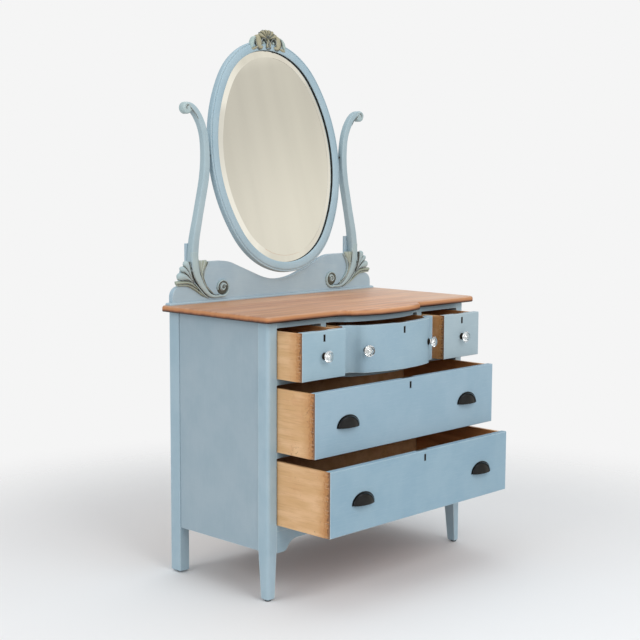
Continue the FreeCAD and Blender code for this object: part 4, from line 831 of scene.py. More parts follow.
def pale_floor():
    """Matt pale floor that fades into the backdrop away from the dresser."""
    half = 6.0
    mesh = plain_mesh("floor", [(-half, -half, 0), (half, -half, 0), (half, half, 0), (-half, half, 0)],
                      [(0, 1, 2, 3)])
    skin = Surface("pale_floor", "#F3F3F3")
    mesh.materials.append(skin.finished({"Roughness": 0.9, "Specular IOR Level": 0.1}))
    far = add(skin.tree, "ShaderNodeVectorMath", [skin.coords], operation="LENGTH").outputs["Value"]
    fade = add(skin.tree, "ShaderNodeMapRange", [far, 1.0, 2.3, 0.0, 1.0], **SMOOTH)
    clear = add(skin.tree, "ShaderNodeBsdfTransparent")
    feed(skin.tree, skin.output, [add(skin.tree, "ShaderNodeMixShader", [fade, skin.shader, clear])])
    return shown("floor", mesh)


# Painted reflection: bearings of the tones painted on the glowing room that the mirror shows, in degrees from
# straight ahead.
ROOM_TONES = ((-40, "#E8E6DE"), (20, "#EFEDE6"), (34, "#EAE8E0"), (39, "#D6D3C9"), (43, "#D8D5CB"),
              (48, "#DDDACF"), (54, "#D6D2C8"), (60, "#DEDBD2"), (67, "#CBC8BF"), (71, "#4A4844"),
              (90, "#2C2B2A"), (100, "#2C2B2A"))
ROOM_HEIGHTS = (-30.0, 50.0)                # lowest and highest angle of the room
ROOM_DISTANCE = 3.6                         # from the pivots, in metres


def reflected_room():
    """Pale warm room in front of the mirror that glows and is seen only in reflections, a painted reflection:
    part of a ball round the pivots.
    """
    columns, rows = 44, 16
    first, last = ROOM_TONES[0][0], ROOM_TONES[-1][0]
    low, high = ROOM_HEIGHTS
    spots = [(c / columns, r / rows) for r in range(rows + 1) for c in range(columns + 1)]
    points = []
    for u, v in spots:
        turn, rise = math.radians(first + (last - first) * u), math.radians(low + (high - low) * v)
        way = Vector((math.sin(turn) * math.cos(rise), -math.cos(turn) * math.cos(rise), math.sin(rise)))
        points.append(place(0, PIVOT_Y, PIVOT_Z) + ROOM_DISTANCE * way)
    mesh = plain_mesh("room_reflection", points, grid(rows + 1, columns + 1, False))
    layer = mesh.uv_layers.new(name="UVMap")
    for loop, item in zip(mesh.loops, layer.data):
        item.uv = spots[loop.vertex_index]
    room = shown("room_reflection", mesh)
    room.visible_camera = room.visible_diffuse = room.visible_shadow = room.visible_transmission = False

    skin = Surface("plaster_wall", ROOM_TONES[0][1])
    tree = skin.tree
    where = add(tree, "ShaderNodeUVMap", uv_map="UVMap")
    split = add(tree, "ShaderNodeSeparateXYZ", [where]).outputs
    ramp = add(tree, "ShaderNodeValToRGB", [split["X"]])
    elements = ramp.color_ramp.elements
    elements[0].color, elements[1].color = linear(ROOM_TONES[0][1]), linear(ROOM_TONES[-1][1])
    for turn, tone in ROOM_TONES[1:-1]:
        elements.new((turn - first) / (last - first)).color = linear(tone)

    parts = []      # painted reflection made brighter low down and brighter overhead: from angle, to angle, start, end
    for from_angle, to_angle, start, end in ((19.0, 4.0, 0.90, 1.14), (20.5, 23.0, 0.0, 0.24)):
        levels = [(angle - low) / (high - low) for angle in (from_angle, to_angle)]
        parts.append(add(tree, "ShaderNodeMapRange", [split["Y"], *levels, start, end], **SMOOTH))
    lift = add(tree, "ShaderNodeMath", parts, operation="ADD")
    stretched = add(tree, "ShaderNodeMapping", {"Vector": where, "Scale": (90, 3, 1)})
    streaks = add(tree, "ShaderNodeTexNoise", {"Vector": stretched, "Scale": 1.0, "Detail": 3.0})
    uneven = add(tree, "ShaderNodeMapRange", [streaks, 0.3, 0.7, 0.965, 1.03], **SMOOTH)
    level = add(tree, "ShaderNodeMath", [lift, uneven], operation="MULTIPLY")
    feed(tree, skin.output, [add(tree, "ShaderNodeEmission", [ramp, level])])
    mesh.materials.append(skin.material)
    return room


class DRESSER_OT_stage(bpy.types.Operator):
    """Pale floor, soft lamps and the camera"""
    bl_idname = "dresser.stage"
    bl_label = "Stage"

    def execute(self, context):
        settings = context.scene.dresser_stage
        context.scene.view_settings.view_transform = "Standard"
        context.scene.camera = studio_camera(settings)
        context.scene.world = studio_world(settings.room_light)
        floor, reflection_card = pale_floor(), reflected_room()
        for name, spot, size, power, aim_z in (
                ("key", (-0.5, -3.6, 2.8), 2.8, settings.key_power, 0.7),
                ("fill", (-3.8, 0.2, 2.2), 2.4, settings.fill_power, 0.6),
                ("overhead", (0.4, 0.6, 4.0), 3.0, settings.top_power, 0.5)):
            light = bpy.data.lights.new(name, "AREA")
            light.shape, light.size, light.energy = "SQUARE", size, power
            way = Vector((0, 0, aim_z)) - Vector(spot)
            turn = way.to_track_quat("-Z", "Y").to_matrix().to_4x4()
            shown(name, light).matrix_world = Matrix.Translation(spot) @ turn
        return {"FINISHED"}


# ---- case, top and drawers -------------------------------------------------------------------------------

def looks_back(centre, normal):
    return normal.y > 0.5


class DRESSER_OT_case(bpy.types.Operator):
    """Posts, panels, rails, runners and back of the case"""
    bl_idname = "dresser.case"
    bl_label = "Case"

    def execute(self, context):
        sizes = context.scene.dresser_sizes
        edge, fine, finest = sizes.edge_softness, 0.0006, 0.0003
        for corner in ("front_left", "front_right", "rear_left", "rear_right"):
            softened(f"post_{corner}", ["chalk_paint_posts"], edge)
        for side in ("left", "right"):
            softened(f"side_panel_{side}", ["chalk_paint_sides", "stained_carcase"], edge,
                     lambda centre, normal: normal.x * centre.x < -0.01)
        face_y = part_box("post_front_left")[0].y
        for rail in ("top", "upper", "lower", "bottom"):
            softened(f"{rail}_rail", ["chalk_paint_rails", "stained_carcase"], fine,
                     lambda centre, normal: normal.y >= -0.2 or centre.y >= face_y + 0.03)
        softened("apron", ["chalk_paint_rails"], fine)
        softened("dividers", ["chalk_paint_rails", "chalk_paint_dividers"], fine,
                 lambda centre, normal: centre.z > (TABLE_Z - 48) * MM)
        softened("drawer_runners", ["bare_pine_runners"], 0.0005)
        softened("back_rails", ["bare_pine_across"], 0.0005)
        softened("back_panel", ["stained_carcase", "bare_pine_upright"], finest, looks_back)
        softened("mirror_battens", ["chalk_paint_board", "bare_pine_upright"], 0.0008, looks_back)
        softened("floor_glides", ["glide_rubber"], finest)

        pitch = sizes.nail_pitch / MM
        half_width, side_x, low, high = 430.0, 464.0, 172.0, 868.0
        across, upward = int(2 * half_width / pitch), int((high - low) / pitch)
        nails = [(-half_width + n * 2 * half_width / across, BACK_Y, z) for n in range(across + 1)
                 for z in (low, high)]
        nails += [(side * side_x, BACK_Y, low + n * (high - low) / upward) for n in range(1, upward)
                  for side in SIDES]
        heads("back_nails", nails, 2.2, 0.7, FACING_FRONT, "lock_steel", "case")
        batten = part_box("mirror_battens")[1]
        batten_x, batten_y = batten.x / MM - 23.0, (batten.y - MID_Y) / MM
        screws = [(side * (batten_x + x), batten_y, z) for side in SIDES for x in (-12.0, 12.0)
                  for z in (585.0, 820.0, 935.0, 1010.0)]
        heads("batten_screws", screws, 4.2, 1.3, FACING_FRONT, "lock_steel", "case")
        return {"FINISHED"}


class DRESSER_OT_top(bpy.types.Operator):
    """Serpentine top with a moulded edge"""
    bl_idname = "dresser.top"
    bl_label = "Top"

    def execute(self, context):
        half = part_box("top_board")[1].x / MM
        front, corner_radius, thick = -265.0, 20.0, 20.0
        straight = half - corner_radius
        corner = [(straight + corner_radius * math.sin(a), front + corner_radius * (1 - math.cos(a)))
                  for a in arc(8, math.pi / 2, False)[1:]]
        outline = serpentine(straight, front, 10) + corner + [(half, BACK_Y), (-half, BACK_Y)]
        outline += [(-x, y) for x, y in reversed(corner)]
        moulding = ((4.0, 0.0), (1.6, 0.7), (0.4, 2.2), (0.0, 4.2), (0.0, 12.0), (0.6, 14.6), (2.0, 17.2),
                    (4.2, 19.0), (7.0, thick))
        rings = []
        for inset, height in moulding:
            ring = []
            for n, (x, y) in enumerate(outline):
                before, after = outline[n - 1], outline[(n + 1) % len(outline)]
                tx, ty = after[0] - before[0], after[1] - before[1]
                length = math.hypot(tx, ty)
                if y == BACK_Y:
                    x -= math.copysign(inset, x)
                else:
                    x, y = x - ty / length * inset, y + tx / length * inset
                ring.append((x, y, TABLE_Z - thick + height))
            rings.append(ring)
        settle(lofted(rings).object("top_board_finished", ["oiled_oak"], 30), "case", ("top_board",))
        return {"FINISHED"}


class DRESSER_OT_drawers(bpy.types.Operator):
    """Drawer fronts, boxes and bottoms"""
    bl_idname = "dresser.drawers"
    bl_label = "Drawers"

    def execute(self, context):
        for name in DRAWERS:
            low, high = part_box(f"drawer_{name}_front")
            middle_x, half_width = (low.x + high.x) / 2, (high.x - low.x) / 2
            face_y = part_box("drawer_centre_sides")[0].y - 6 * MM if name == "centre" else low.y
            key_low, key_high = high.z - KEYHOLE_LOWEST * MM, high.z - KEYHOLE_HIGHEST * MM
            paint = f"chalk_paint_{name}_front"
            FINISHES[paint] = chalk_paint(paint, FRONT_TONES[name], "X", 0.0, 0.9,
                                          (middle_x, (key_low + key_high) / 2))

            def front_finish(centre, normal):
                off = abs(centre.x - middle_x)
                if off < 6 * MM and key_low < centre.z < key_high and abs(normal.y) < 0.5:
                    return 3
                if abs(normal.x) > 0.9 and off > half_width - 1 * MM:
                    return 2
                return looks_back(centre, normal)

            def faces_inward(centre, normal):
                return abs(normal.x) > 0.7 and (centre.x - middle_x) * normal.x < 0
            front = softened(f"drawer_{name}_front", [paint, "bare_maple", "aged_maple", "keyhole_shadow"],
                             0.0009, front_finish)
            sides = softened(f"drawer_{name}_sides", ["aged_maple", "waxed_inside"], 0.0005, faces_inward)
            for piece in (front, sides):
                mark(piece, "behind_face", [(point.co.y - face_y) / MM for point in piece.data.vertices])
            softened(f"drawer_{name}_bottom", ["stained_inside"], 0.0003)

            hole_x, hole_y, hole_half = middle_x / MM, (low.y - MID_Y) / MM + 4.0, 5.5
            bottom, top = key_low / MM + 0.5, key_high / MM - 0.5
            hole = lofted([[(hole_x - hole_half, y, bottom), (hole_x + hole_half, y, bottom),
                            (hole_x + hole_half, y, top), (hole_x - hole_half, y, top)]
                           for y in (hole_y, hole_y + 1.5)])
            settle(hole.object(f"keyhole_{name}_depth", ["keyhole_shadow"]), f"drawer_{name}")
        return {"FINISHED"}


class DRESSER_OT_locks(bpy.types.Operator):
    """Lock cases and their bolts"""
    bl_idname = "dresser.locks"
    bl_label = "Locks"

    def execute(self, context):
        for name in DRAWERS:
            softened(f"drawer_{name}_lock", ["lock_steel"], 0.0004)
            softened(f"drawer_{name}_lock_bolt", ["aged_brass"], 0.0004)
        return {"FINISHED"}


# ---- knobs and pulls -------------------------------------------------------------------------------------

# Turned profiles of a knob as (radius, height over the drawer); the glass adds a turn in shares of a facet.
SEAT = ((11.2, 0.0), (11.3, 0.8), (10.8, 1.9), (9.4, 2.9), (7.6, 3.6), (6.0, 4.4), (5.5, 5.8), (5.4, 7.4),
        (6.6, 8.4), (8.6, 8.9))
SOCKET = ((8.6, 8.9), (9.0, 9.3), (8.8, 10.2), (6.4, 10.6), (5.6, 13.0), (3.0, 16.5), (0.8, 17.5))
GLASS = ((6.8, 10.7, 0), (9.2, 10.8, 0), (11.5, 12.6, 0.5), (17.8, 17.6, 0), (18.9, 19.4, 0.5),
         (18.6, 21.6, 0), (15.4, 25.2, 0.5), (10.8, 27.6, 0), (4.4, 28.7, 0.5))


def turned(profile, count):
    """Form on a turned or faceted profile, standing on z = 0 about the Z axis."""
    rings = []
    for radius, z, *twist in profile:
        angles = [2 * math.pi * (k + sum(twist)) / count for k in range(count)]
        rings.append([(radius * math.cos(a), radius * math.sin(a), z) for a in angles])
    return lofted(rings)


class DRESSER_OT_knobs(bpy.types.Operator):
    """Glass knobs on metal seats"""
    bl_idname = "dresser.knobs"
    bl_label = "Knobs"

    def execute(self, context):
        forms = turned(SEAT, 32), turned(SOCKET, 32), turned(GLASS, context.scene.dresser_sizes.knob_facets)
        for name in ("left", "centre", "right"):
            low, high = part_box(f"drawer_{name}_knob_base")
            middle = (low + high) / 2
            spots = [(middle.x / MM, (high.y - MID_Y) / MM, 0.0)]
            if name == "centre":
                out = (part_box("drawer_centre_front")[0].y - MID_Y) / MM + BOW_DEPTH
                spots = [(side * KNOB_X, front_y(KNOB_X) - FRONT_Y + out, side * KNOB_TURN) for side in SIDES]
            pieces = [Form() for form in forms]
            for x, y, heading in spots:
                turn = Matrix.Rotation(math.radians(heading), 3, "Z") @ Matrix.Rotation(math.pi / 2, 3, "X")
                spot = Vector((x, y, middle.z / MM))
                for form, piece in zip(forms, pieces):
                    piece.join(form.moved(lambda p: turn @ p + spot))
            body = f"drawer_{name}"
            seat, socket, glass = pieces
            settle(seat.object(f"knob_seat_{name}", ["darkened_brass"]), body, (f"drawer_{name}_knob_base",))
            settle(socket.object(f"knob_socket_{name}", ["bright_nickel"]), body)
            settle(glass.object(f"knob_glass_{name}", ["pressed_glass"], 5, False), body,
                   (f"drawer_{name}_knob_glass",))
        return {"FINISHED"}


# Half width and height of a cup pull's shell outside and inside, and of its flange outside and inside.
SHELL_OUTER, SHELL_INNER, SHELL_THICK = (47.5, 35.0), (45.4, 33.0), 2.0
FLANGE_OUTER, FLANGE_INNER, FLANGE_THICK = (51.3, 38.0), (44.5, 32.0), 1.4
FLANGE_CORNERS = ((FLANGE_OUTER, 0), (FLANGE_OUTER, FLANGE_THICK),
                  (FLANGE_INNER, FLANGE_THICK), (FLANGE_INNER, 0))


def cup(x0, face_y, z0, reach):
    """Cup pull: a thin domed shell, open below, with a narrow flange against the drawer."""
    def bow(half, height, y, share=1.0):
        return [(x0 - half * share * math.cos(a), y, z0 + height * share * math.sin(a))
                for a in arc(28, math.pi, False)]
    shell = []
    for a in arc(12, math.pi / 2, False):
        share, out = math.sin(a), math.cos(a)
        inner = bow(*SHELL_INNER, face_y - (reach - SHELL_THICK) * out, share)
        shell.append(bow(*SHELL_OUTER, face_y - reach * out, share) + inner[::-1])
    flange = [bow(*size, face_y - out) for size, out in FLANGE_CORNERS]
    return lofted(shell).join(lofted(list(zip(*flange))))


class DRESSER_OT_pulls(bpy.types.Operator):
    """Black cup pulls with their screws"""
    bl_idname = "dresser.pulls"
    bl_label = "Cup pulls"

    def execute(self, context):
        for name in ("middle", "bottom"):
            low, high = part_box(f"drawer_{name}_pulls")
            face_y, z0 = (high.y - MID_Y) / MM, low.z / MM
            form, screws = Form(), []
            for side in SIDES:
                x0 = side * (high.x / MM - PULL_HALF)
                form.join(cup(x0, face_y, z0, (high.y - low.y) / MM - 0.2))
                screws += [(x0 + s * 48.3, face_y - 2.0, z0 + 5.0) for s in SIDES]
            settle(form.object(f"cup_pulls_{name}", ["blackened_iron"], 50), f"drawer_{name}",
                   (f"drawer_{name}_pulls",))
            heads(f"pull_screws_{name}", screws, 1.8, 0.7, FACING_FRONT, "blackened_iron", f"drawer_{name}")
        return {"FINISHED"}


# ---- board, standards and their carving ------------------------------------------------------------------

class DRESSER_OT_board(bpy.types.Operator):
    """Shaped board under the mirror with its foot moulding"""
    bl_idname = "dresser.board"
    bl_label = "Board"

    def execute(self, context):
        softened("base_board", ["chalk_paint_board", "bare_pine_across"], 0.0012,
                 lambda centre, normal: normal.y > 0.7)
        return {"FINISHED"}


# Stretches of the free bar from its foot up: length, and degrees that it turns outward.
BAR_TURNS = ((110, -13), (150, 0), (100, 13), (60, 8), (40, 12), (50, 18), (20, 12), (34, 40))


def standard_rows():
    """Middle line of the free part of a standard, as (x, z)."""
    x, z, heading = STANDARD_X + FOOT_OUTWARD, TABLE_Z + 130.0, 0.0
    rows = [(x + 0.5, z - 22.0), (x, z)]
    for length, turn in BAR_TURNS:
        steps = max(2, int(length / 7))
        for k in range(steps):
            middle = math.radians(heading + turn * (k + 0.5) / steps)
            x += math.sin(middle) * length / steps
            z += math.cos(middle) * length / steps
            rows.append((x, z))
        heading += turn
    return rows


def standard_girth(z):
    """Girth of the bar at a height: fuller at its foot, finer past the pivot."""
    foot = min(max(1 - (z - TABLE_Z - 120) / 170, 0.0), 1.0)
    head = min(max((z - PIVOT_Z + 60) / 120, 0.0), 1.0)
    return 0.95 + 0.15 * foot - 0.11 * head


# Roll that ends a standard, as (depth, radius), and the lines on its face, as (x, z, width) from its middle.
ROLL = ((-12.9, 6.0), (-13.1, 11.0), (-12.8, 15.5), (-11.0, 18.4), (-8.0, 19.6), (8.0, 19.6), (11.0, 18.4),
        (12.8, 15.5), (13.0, 8.0))
ROLL_LIP = ((-60, 12, 3), (0, 14, 5), (50, 14, 6), (100, 13.5, 6), (140, 15, 4))    # (bearing, radius, width)
ROLL_HOOK = ((3, -5, 2), (5, 1, 3.6), (2.5, 7, 4.6), (-4.5, 10, 4.2), (-12, 10.5, 2.5))
ROLL_CREASE = ((-9.5, 4, 2), (-13.5, -0.5, 4.8), (-20, -6, 4.2), (-30, -14.5, 3.2), (-39, -25, 2),
               (-45, -35, 1))


def scroll_form():
    """Rolled end of a standard: a rounded roll with a dark hooked line of painted shadow where it turns out of
    the bar.
    """
    x0, end_z = standard_rows()[-1]
    z0, front = end_z + 11.8 - 19.6, STANDARD_Y - 13.0
    form = lofted([[(x0 + r * math.cos(a), STANDARD_Y + y, z0 + r * math.sin(a)) for a in arc(36)]
                   for y, r in ROLL])
    lip = [(x0 + r * math.cos(math.radians(a)), z0 + r * math.sin(math.radians(a)), w, 1.8)
           for a, r, w in ROLL_LIP]
    hook = [(x0 + x, z0 + z, w, 1.1) for x, z, w in ROLL_HOOK]
    crease = [(x0 + x, z0 + z, w, 2.2) for x, z, w in ROLL_CREASE]
    return form.join(run(lip, front, 2.0, 5, 7), run(hook, front, 1.5, 5, 5, 0.8, 1),
                     run(crease, front + 1.2, 1.5, 5, 5, 0.8, 1))


# Carved runs beside a standard, outward from its axis and up from the top:
# (fullness, slot, [(x, z, width, height)]). Slot 0 is paint, 1 painted shadow laid along the hollows, 2 the
# rubbed finish.
STEM_RUNS = (
    # the stem, its inner rib and the leaf in its fork
    (0.40, 0, [(59.8, 172, 30, 7.6), (59, 150, 30, 8.2), (57.5, 125, 30, 9.2), (53, 98, 29, 10.2),
               (42.5, 76, 26, 10.8), (29, 56, 22, 10.8), (12.5, 38, 17.5, 10.4), (-5, 25, 13, 9.6),
               (-22, 19.5, 10.5, 9), (-36, 18.2, 9.2, 8.6), (-52, 19.5, 8.6, 8.4)]),
    (0.8, 0, [(66, 70, 2, 6), (56, 61, 5, 9), (42, 46.5, 6, 9.5), (27, 32.5, 6, 9), (10, 20, 4, 7),
              (-4, 14.5, 2, 5)]),
    (0.36, 2, [(26, 143, 34, 5.2), (26, 136, 40, 6.2), (28, 120, 30, 6.6), (31, 105, 17, 7.2),
              (31, 92, 10, 8),
               (26.5, 77, 8, 8.4), (14.5, 57, 6.5, 8.2), (-4, 39.5, 5, 7.6), (-20, 29, 2.5, 6)]),
    (0.8, 0, [(-1, 138, 3, 5), (6, 126, 4.6, 7), (12.5, 116, 5.6, 8), (18.5, 104, 6, 8.6),
              (21.5, 92, 6, 8.6), (20.5, 80, 5, 8.2), (13, 63, 4, 7.4), (2, 50, 3, 6.4),
              (-11, 39, 1.6, 5)]),
    (0.8, 2, [(16, 141, 4, 6.6), (22, 127, 4, 7.6), (28, 112, 3, 8), (31, 100, 2, 8)]),
    (0.8, 2, [(32, 143, 4, 6.6), (34, 128, 4, 7.6), (35, 113, 3, 8.2), (34, 101, 2, 8.4)]),
    # painted shadows: dark strips laid along the hollows
    (0.8, 1, [(46, 147, 1.4, 8.2), (43.8, 128, 2, 8.6), (41, 112, 2.3, 9), (33.5, 88, 2.6, 9.6),
              (20.5, 63.5, 2.6, 9.8), (0.5, 42, 2.4, 9.4), (-14, 30.5, 2.2, 8.8), (-32, 23.6, 1.6, 8.0),
              (-46, 24.2, 1.2, 7.6)]),
    (0.8, 1, [(75, 122, 1.5, 8.5), (71.5, 104, 2.6, 8.9), (66, 90, 3, 9.1), (56.5, 74, 2.8, 9.5),
              (42, 56, 2.4, 9.6), (26, 39.5, 2, 9.4), (11, 27, 1.4, 9)]),
    (0.8, 1, [(2.5, 135.5, 1.4, 7.4), (9, 125.5, 2.2, 8.0), (15.5, 116, 2.6, 8.4), (21.5, 107, 2.6, 8.8),
              (25.8, 97, 2.4, 9.0), (26, 86, 1.8, 9.0)]),
    (0.8, 1, [(21.5, 79, 1.4, 8.9), (16.5, 67.5, 2.6, 8.9), (9, 54.5, 3, 8.8), (0, 45, 2.8, 8.4),
              (-8, 38, 2.2, 8), (-17, 31.5, 1.4, 7.4)]),
)
FAN_RUNS = (
    # three lobes, then the long leaf under them and its second rib
    (0.6, 0, [(70, 74, 3, 6), (79, 94, 5, 8.5), (85, 109, 9, 10), (91, 122, 17, 10.8),
              (96, 132.5, 22, 10.6), (98, 138.5, 19, 9), (99, 143, 9, 5)]),
    (0.6, 0, [(70, 72, 3, 6), (82, 90, 5, 8.5), (92.5, 102.5, 11, 10), (102.5, 111.5, 16, 11),
              (111.5, 116.5, 19, 10.8), (118, 118, 15, 8.6), (122, 118, 7, 5)]),
    (0.6, 0, [(69, 69.5, 3, 6), (82, 79.5, 6, 8.5), (94, 86.5, 13, 10.2), (107, 91.5, 22, 11.2),
              (119, 93, 26, 11.2), (128, 92, 22, 9), (134, 91, 11, 5)]),
    (0.7, 2, [(142, 72.5, 9, 7), (138, 73, 12, 9), (120, 73, 11, 10), (101, 72.6, 9.5, 10.2),
              (87, 70, 8.5, 10.2), (74, 64.5, 7.5, 9.8), (62, 57, 6, 9.4), (51, 49, 3, 8)]),
    (0.7, 2, [(138, 64.5, 6, 6), (118, 64.4, 7, 7.5), (99, 63.6, 7, 8), (85, 60.4, 6.5, 8.4),
              (71, 54, 6.5, 9), (57, 46, 6.3, 9), (42, 36.5, 6, 8.6), (25, 26, 5, 7.4), (8, 17.5, 2.5, 4)]),
    # painted shadows: dark strips laid along the hollows
    (0.8, 1, [(103, 127, 1.2, 8.4), (96, 117.5, 3, 9), (89, 108.5, 4.6, 9.2), (81, 94.5, 4.4, 8.6),
              (72, 78, 3, 8)]),
    (0.8, 1, [(113, 107, 1.2, 8.6), (104, 100.5, 3, 9.4), (93, 92.5, 4.6, 9.4), (82, 82.5, 4.4, 8.8),
              (72, 72, 3, 8)]),
    (0.8, 1, [(118, 80.5, 2, 8), (105, 81.5, 4.6, 8.6), (94, 78.5, 5, 8.8), (82, 73.5, 4.5, 8.6),
              (70, 67, 5, 8.4), (63, 62, 2.5, 8)]),
    (0.8, 1, [(84, 141, 2, 8.6), (82.5, 128, 6, 9), (81, 112, 8, 9), (76, 95, 7.5, 8.8), (70, 80, 6.5, 8.6),
              (65, 68, 4, 8.4)]),
    (0.8, 1, [(137, 67.6, 1.4, 8), (118, 68.4, 2.2, 9), (99, 67.8, 2.4, 9.2), (86, 65, 2.4, 9.4),
              (73, 59, 2, 9.2), (60, 50.8, 1.2, 9)]),
)
VOLUTE_X, VOLUTE_Z = -64.0, 46.5            # eye of a stem, laid out as the runs are
CARVED_FINISHES = ["chalk_paint_carving", "waxed_hollow", "glazed_olive"]


def volute_form():
    """Eye of a stem: a narrow rim round a dark hollow, a disc of painted shadow, with a pale curl in it."""
    x, z, y = STANDARD_X + VOLUTE_X, TABLE_Z + VOLUTE_Z, BOARD_FRONT_Y
    rim = spiral(x, z, -66.0, 0.86, 29.6, 22.4, (8.6, 3.6), (8.4, 6.6), 44)
    curl = spiral(x - 1, z + 1, 150.0, 1.15, 13.6, 4.2, (8.6, 4.6), (8.6, 10.0), 36)
    return dome(x, y, z, 24.0, 4.6, 1, 32).join(run(rim, y, 2.0, 1, 9, 0.6), run(curl, y, 2.0, 1),
                                                dome(x - 1, y, z + 1, 2.4, 9.0, 1))


class DRESSER_OT_standards(bpy.types.Operator):
    """Scrolled standards with the carved stems that run down to their volutes"""
    bl_idname = "dresser.standards"
    bl_label = "Standards"

    def execute(self, context):
        rows = standard_rows()
        girths = [standard_girth(z) for x, z in rows]
        carving = carved(STEM_RUNS, STANDARD_X, TABLE_Z, BOARD_FRONT_Y, across=11)
        carving.join(volute_form(), scroll_form())
        for side, name in ((1, "right"), (-1, "left")):
            bar = swept(f"standard_{name}_bar", [place(side * x, STANDARD_Y, z) for x, z in rows], girths,
                        squared(14.0, 4.6), (0, 1, 0), "chalk_paint_standards", False, 60)
            settle(bar, "case", (f"standard_{name}",))
            one = carving if side > 0 else carving.moved(other_side)
            settle(one.object(f"standard_{name}_carved", CARVED_FINISHES), "case", ())
        return {"FINISHED"}


class DRESSER_OT_fans(bpy.types.Operator):
    """Carved fans beside the foot of each standard"""
    bl_idname = "dresser.fans"
    bl_label = "Fans"

    def execute(self, context):
        right = carved(FAN_RUNS, STANDARD_X, TABLE_Z, BOARD_FRONT_Y)
        for name, fan in (("left", right.moved(other_side)), ("right", right)):
            made = fan.object(f"fan_{name}_carved", CARVED_FINISHES)
            settle(made, "case", ())
        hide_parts("carved_fans")
        return {"FINISHED"}


# ---- mirror and its crown --------------------------------------------------------------------------------

# Section of the oval frame: outward from the sight edge, and back from the face.
FRAME_SECTION = ((0.4, 9), (0.0, 4.6), (0.6, 2.6), (2.2, 1.3), (4.6, 0.9), (6.4, 0.2), (12, -0.2), (20, -0.2),
                 (25.0, 0.3), (27.2, 1.5), (28.0, 3.9), (29.6, 4.2), (30.4, 2.7), (32.2, 2.6), (34.0, 3.8),
                 (34.8, 6.2), (35, 11), (35, 21), (34.2, 23.8), (31.5, 24.8), (9, 24.8), (9, 9))
PLATE_BACK = 6.6                            # front edge of the plate, back from the face of the frame
PLATE_SECTION = ((-24.0, 0.0), (-23.2, 0.28), (8.0, 3.3), (8.0, 7.9))


class DRESSER_OT_mirror(bpy.types.Operator):
    """Oval frame, bevelled plate, back board and pivots"""
    bl_idname = "dresser.mirror"
    bl_label = "Mirror"

    def execute(self, context):
        steps = context.scene.dresser_sizes.frame_steps
        tilt = math.radians(TILT_BACK)
        away = Vector((0, math.cos(tilt), -math.sin(tilt)))
        path = [place(*on_mirror(p)) for p in oval_ring(0.0, 0.0, steps, 0.5)]
        section = [(FRAME_FRONT + back, -out) for out, back in FRAME_SECTION]
        moulded = swept("mirror_frame_moulded", path, [1.0] * steps, section, away, "chalk_paint_frame",
                        True, 50)
        # the narrow shadow line between the plate and the sight edge
        moulded.data.materials.append(finish("keyhole_shadow"))
        middle = place(0, PIVOT_Y, PIVOT_Z)
        for face in moulded.data.polygons:
            inward = (middle - face.center).normalized()
            back = away.dot(face.center - middle) / MM - FRAME_FRONT
            if face.normal.dot(inward) > 0.5 and 6.0 < back < 8.9:
                face.material_index = 1
        settle(moulded, "mirror", ("mirror_frame",))

        plate = lofted([oval_ring(out, FRAME_FRONT + PLATE_BACK + back, steps)
                        for out, back in PLATE_SECTION])
        settle(plate.moved(on_mirror).object("mirror_plate_bevelled", ["silvered_glass"], 1.0), "mirror",
               ("mirror_glass",))
        softened("mirror_backboard", ["bare_pine_upright"], 0.0004)
        softened("mirror_pivot_pins", ["aged_brass"], 0.0002)
        brads = [on_mirror(p) for p in oval_ring(6.0, FRAME_FRONT + 19.9, 20)]
        heads("mirror_brads", brads, 1.8, 0.8, (math.pi / 2 - tilt, 0, 0), "lock_steel", "mirror")
        return {"FINISHED"}


# One half of the cresting, across from its middle and up from its foot, laid out as the carved runs are.
# Slot 1 runs, here and in the pendant, are dark strips of painted shadow.
CROWN_RUNS = (
    (0.6, 2, [(40, 35, 14, 9), (45, 28, 26, 12.5), (47, 16, 30, 14), (46, 4, 27, 14), (40.5, -4, 18, 13),
              (33, -5, 11, 11.5), (27.5, -1, 7, 9)]),
    (0.6, 0, [(58, 30, 8, 8), (66, 25, 12, 10), (72, 16, 15, 11.5), (76, 5, 17, 11), (78, -5, 12, 9),
              (77, -10, 6, 6)]),
    (0.8, 2, [(54, -3, 7, 10), (62, -8, 10, 11), (71, -11, 10, 10.5), (78, -13, 7, 8), (82, -15, 3, 5)]),
    (0.8, 1, [(9, 6, 3, 11), (12, 15, 6, 12), (18, 23.5, 8, 13), (26.5, 26, 8.5, 13.5), (33, 20, 8, 13.5),
              (34, 11, 6, 13), (32, 4, 3, 11.5)]),
    (0.8, 1, [(60, 31, 1.6, 10.5), (63, 20, 2.6, 12.2), (62.5, 8, 2.8, 12.4), (58, -3, 2.6, 11.5),
              (50, -11, 3, 10), (40, -13.5, 2.6, 9), (29, -10, 2, 8)]),
)
PENDANT_RUNS = (
    (0.8, 2, [(0, 22, 6, 11), (-5, 12, 9, 13), (-7, 3, 9, 13), (-4, -5, 7, 11)]),
    (0.8, 2, [(0, 22, 6, 11), (5, 12, 9, 13), (7, 3, 9, 13), (4, -5, 7, 11)]),
    (0.8, 1, [(0, 20, 1.2, 12.5), (0, 10, 2.2, 14), (0, 2, 2.4, 14), (0, -5, 1.4, 12)]),
    (0.8, 1, [(-13, -1, 2, 8), (-9, -8.5, 3.5, 8), (0, -10.5, 3.5, 8), (9, -8.5, 3.5, 8), (13, -1, 2, 8)]),
)
SHELL_SHADOW_LINE = [(0, 5, 1.4, 10), (0, 14, 2.4, 11.5), (0, 24, 3.0, 10.5), (0, 31, 2.6, 7.5), (0, 34, 1.4, 4)]
SHELL_SPREAD = 138.0


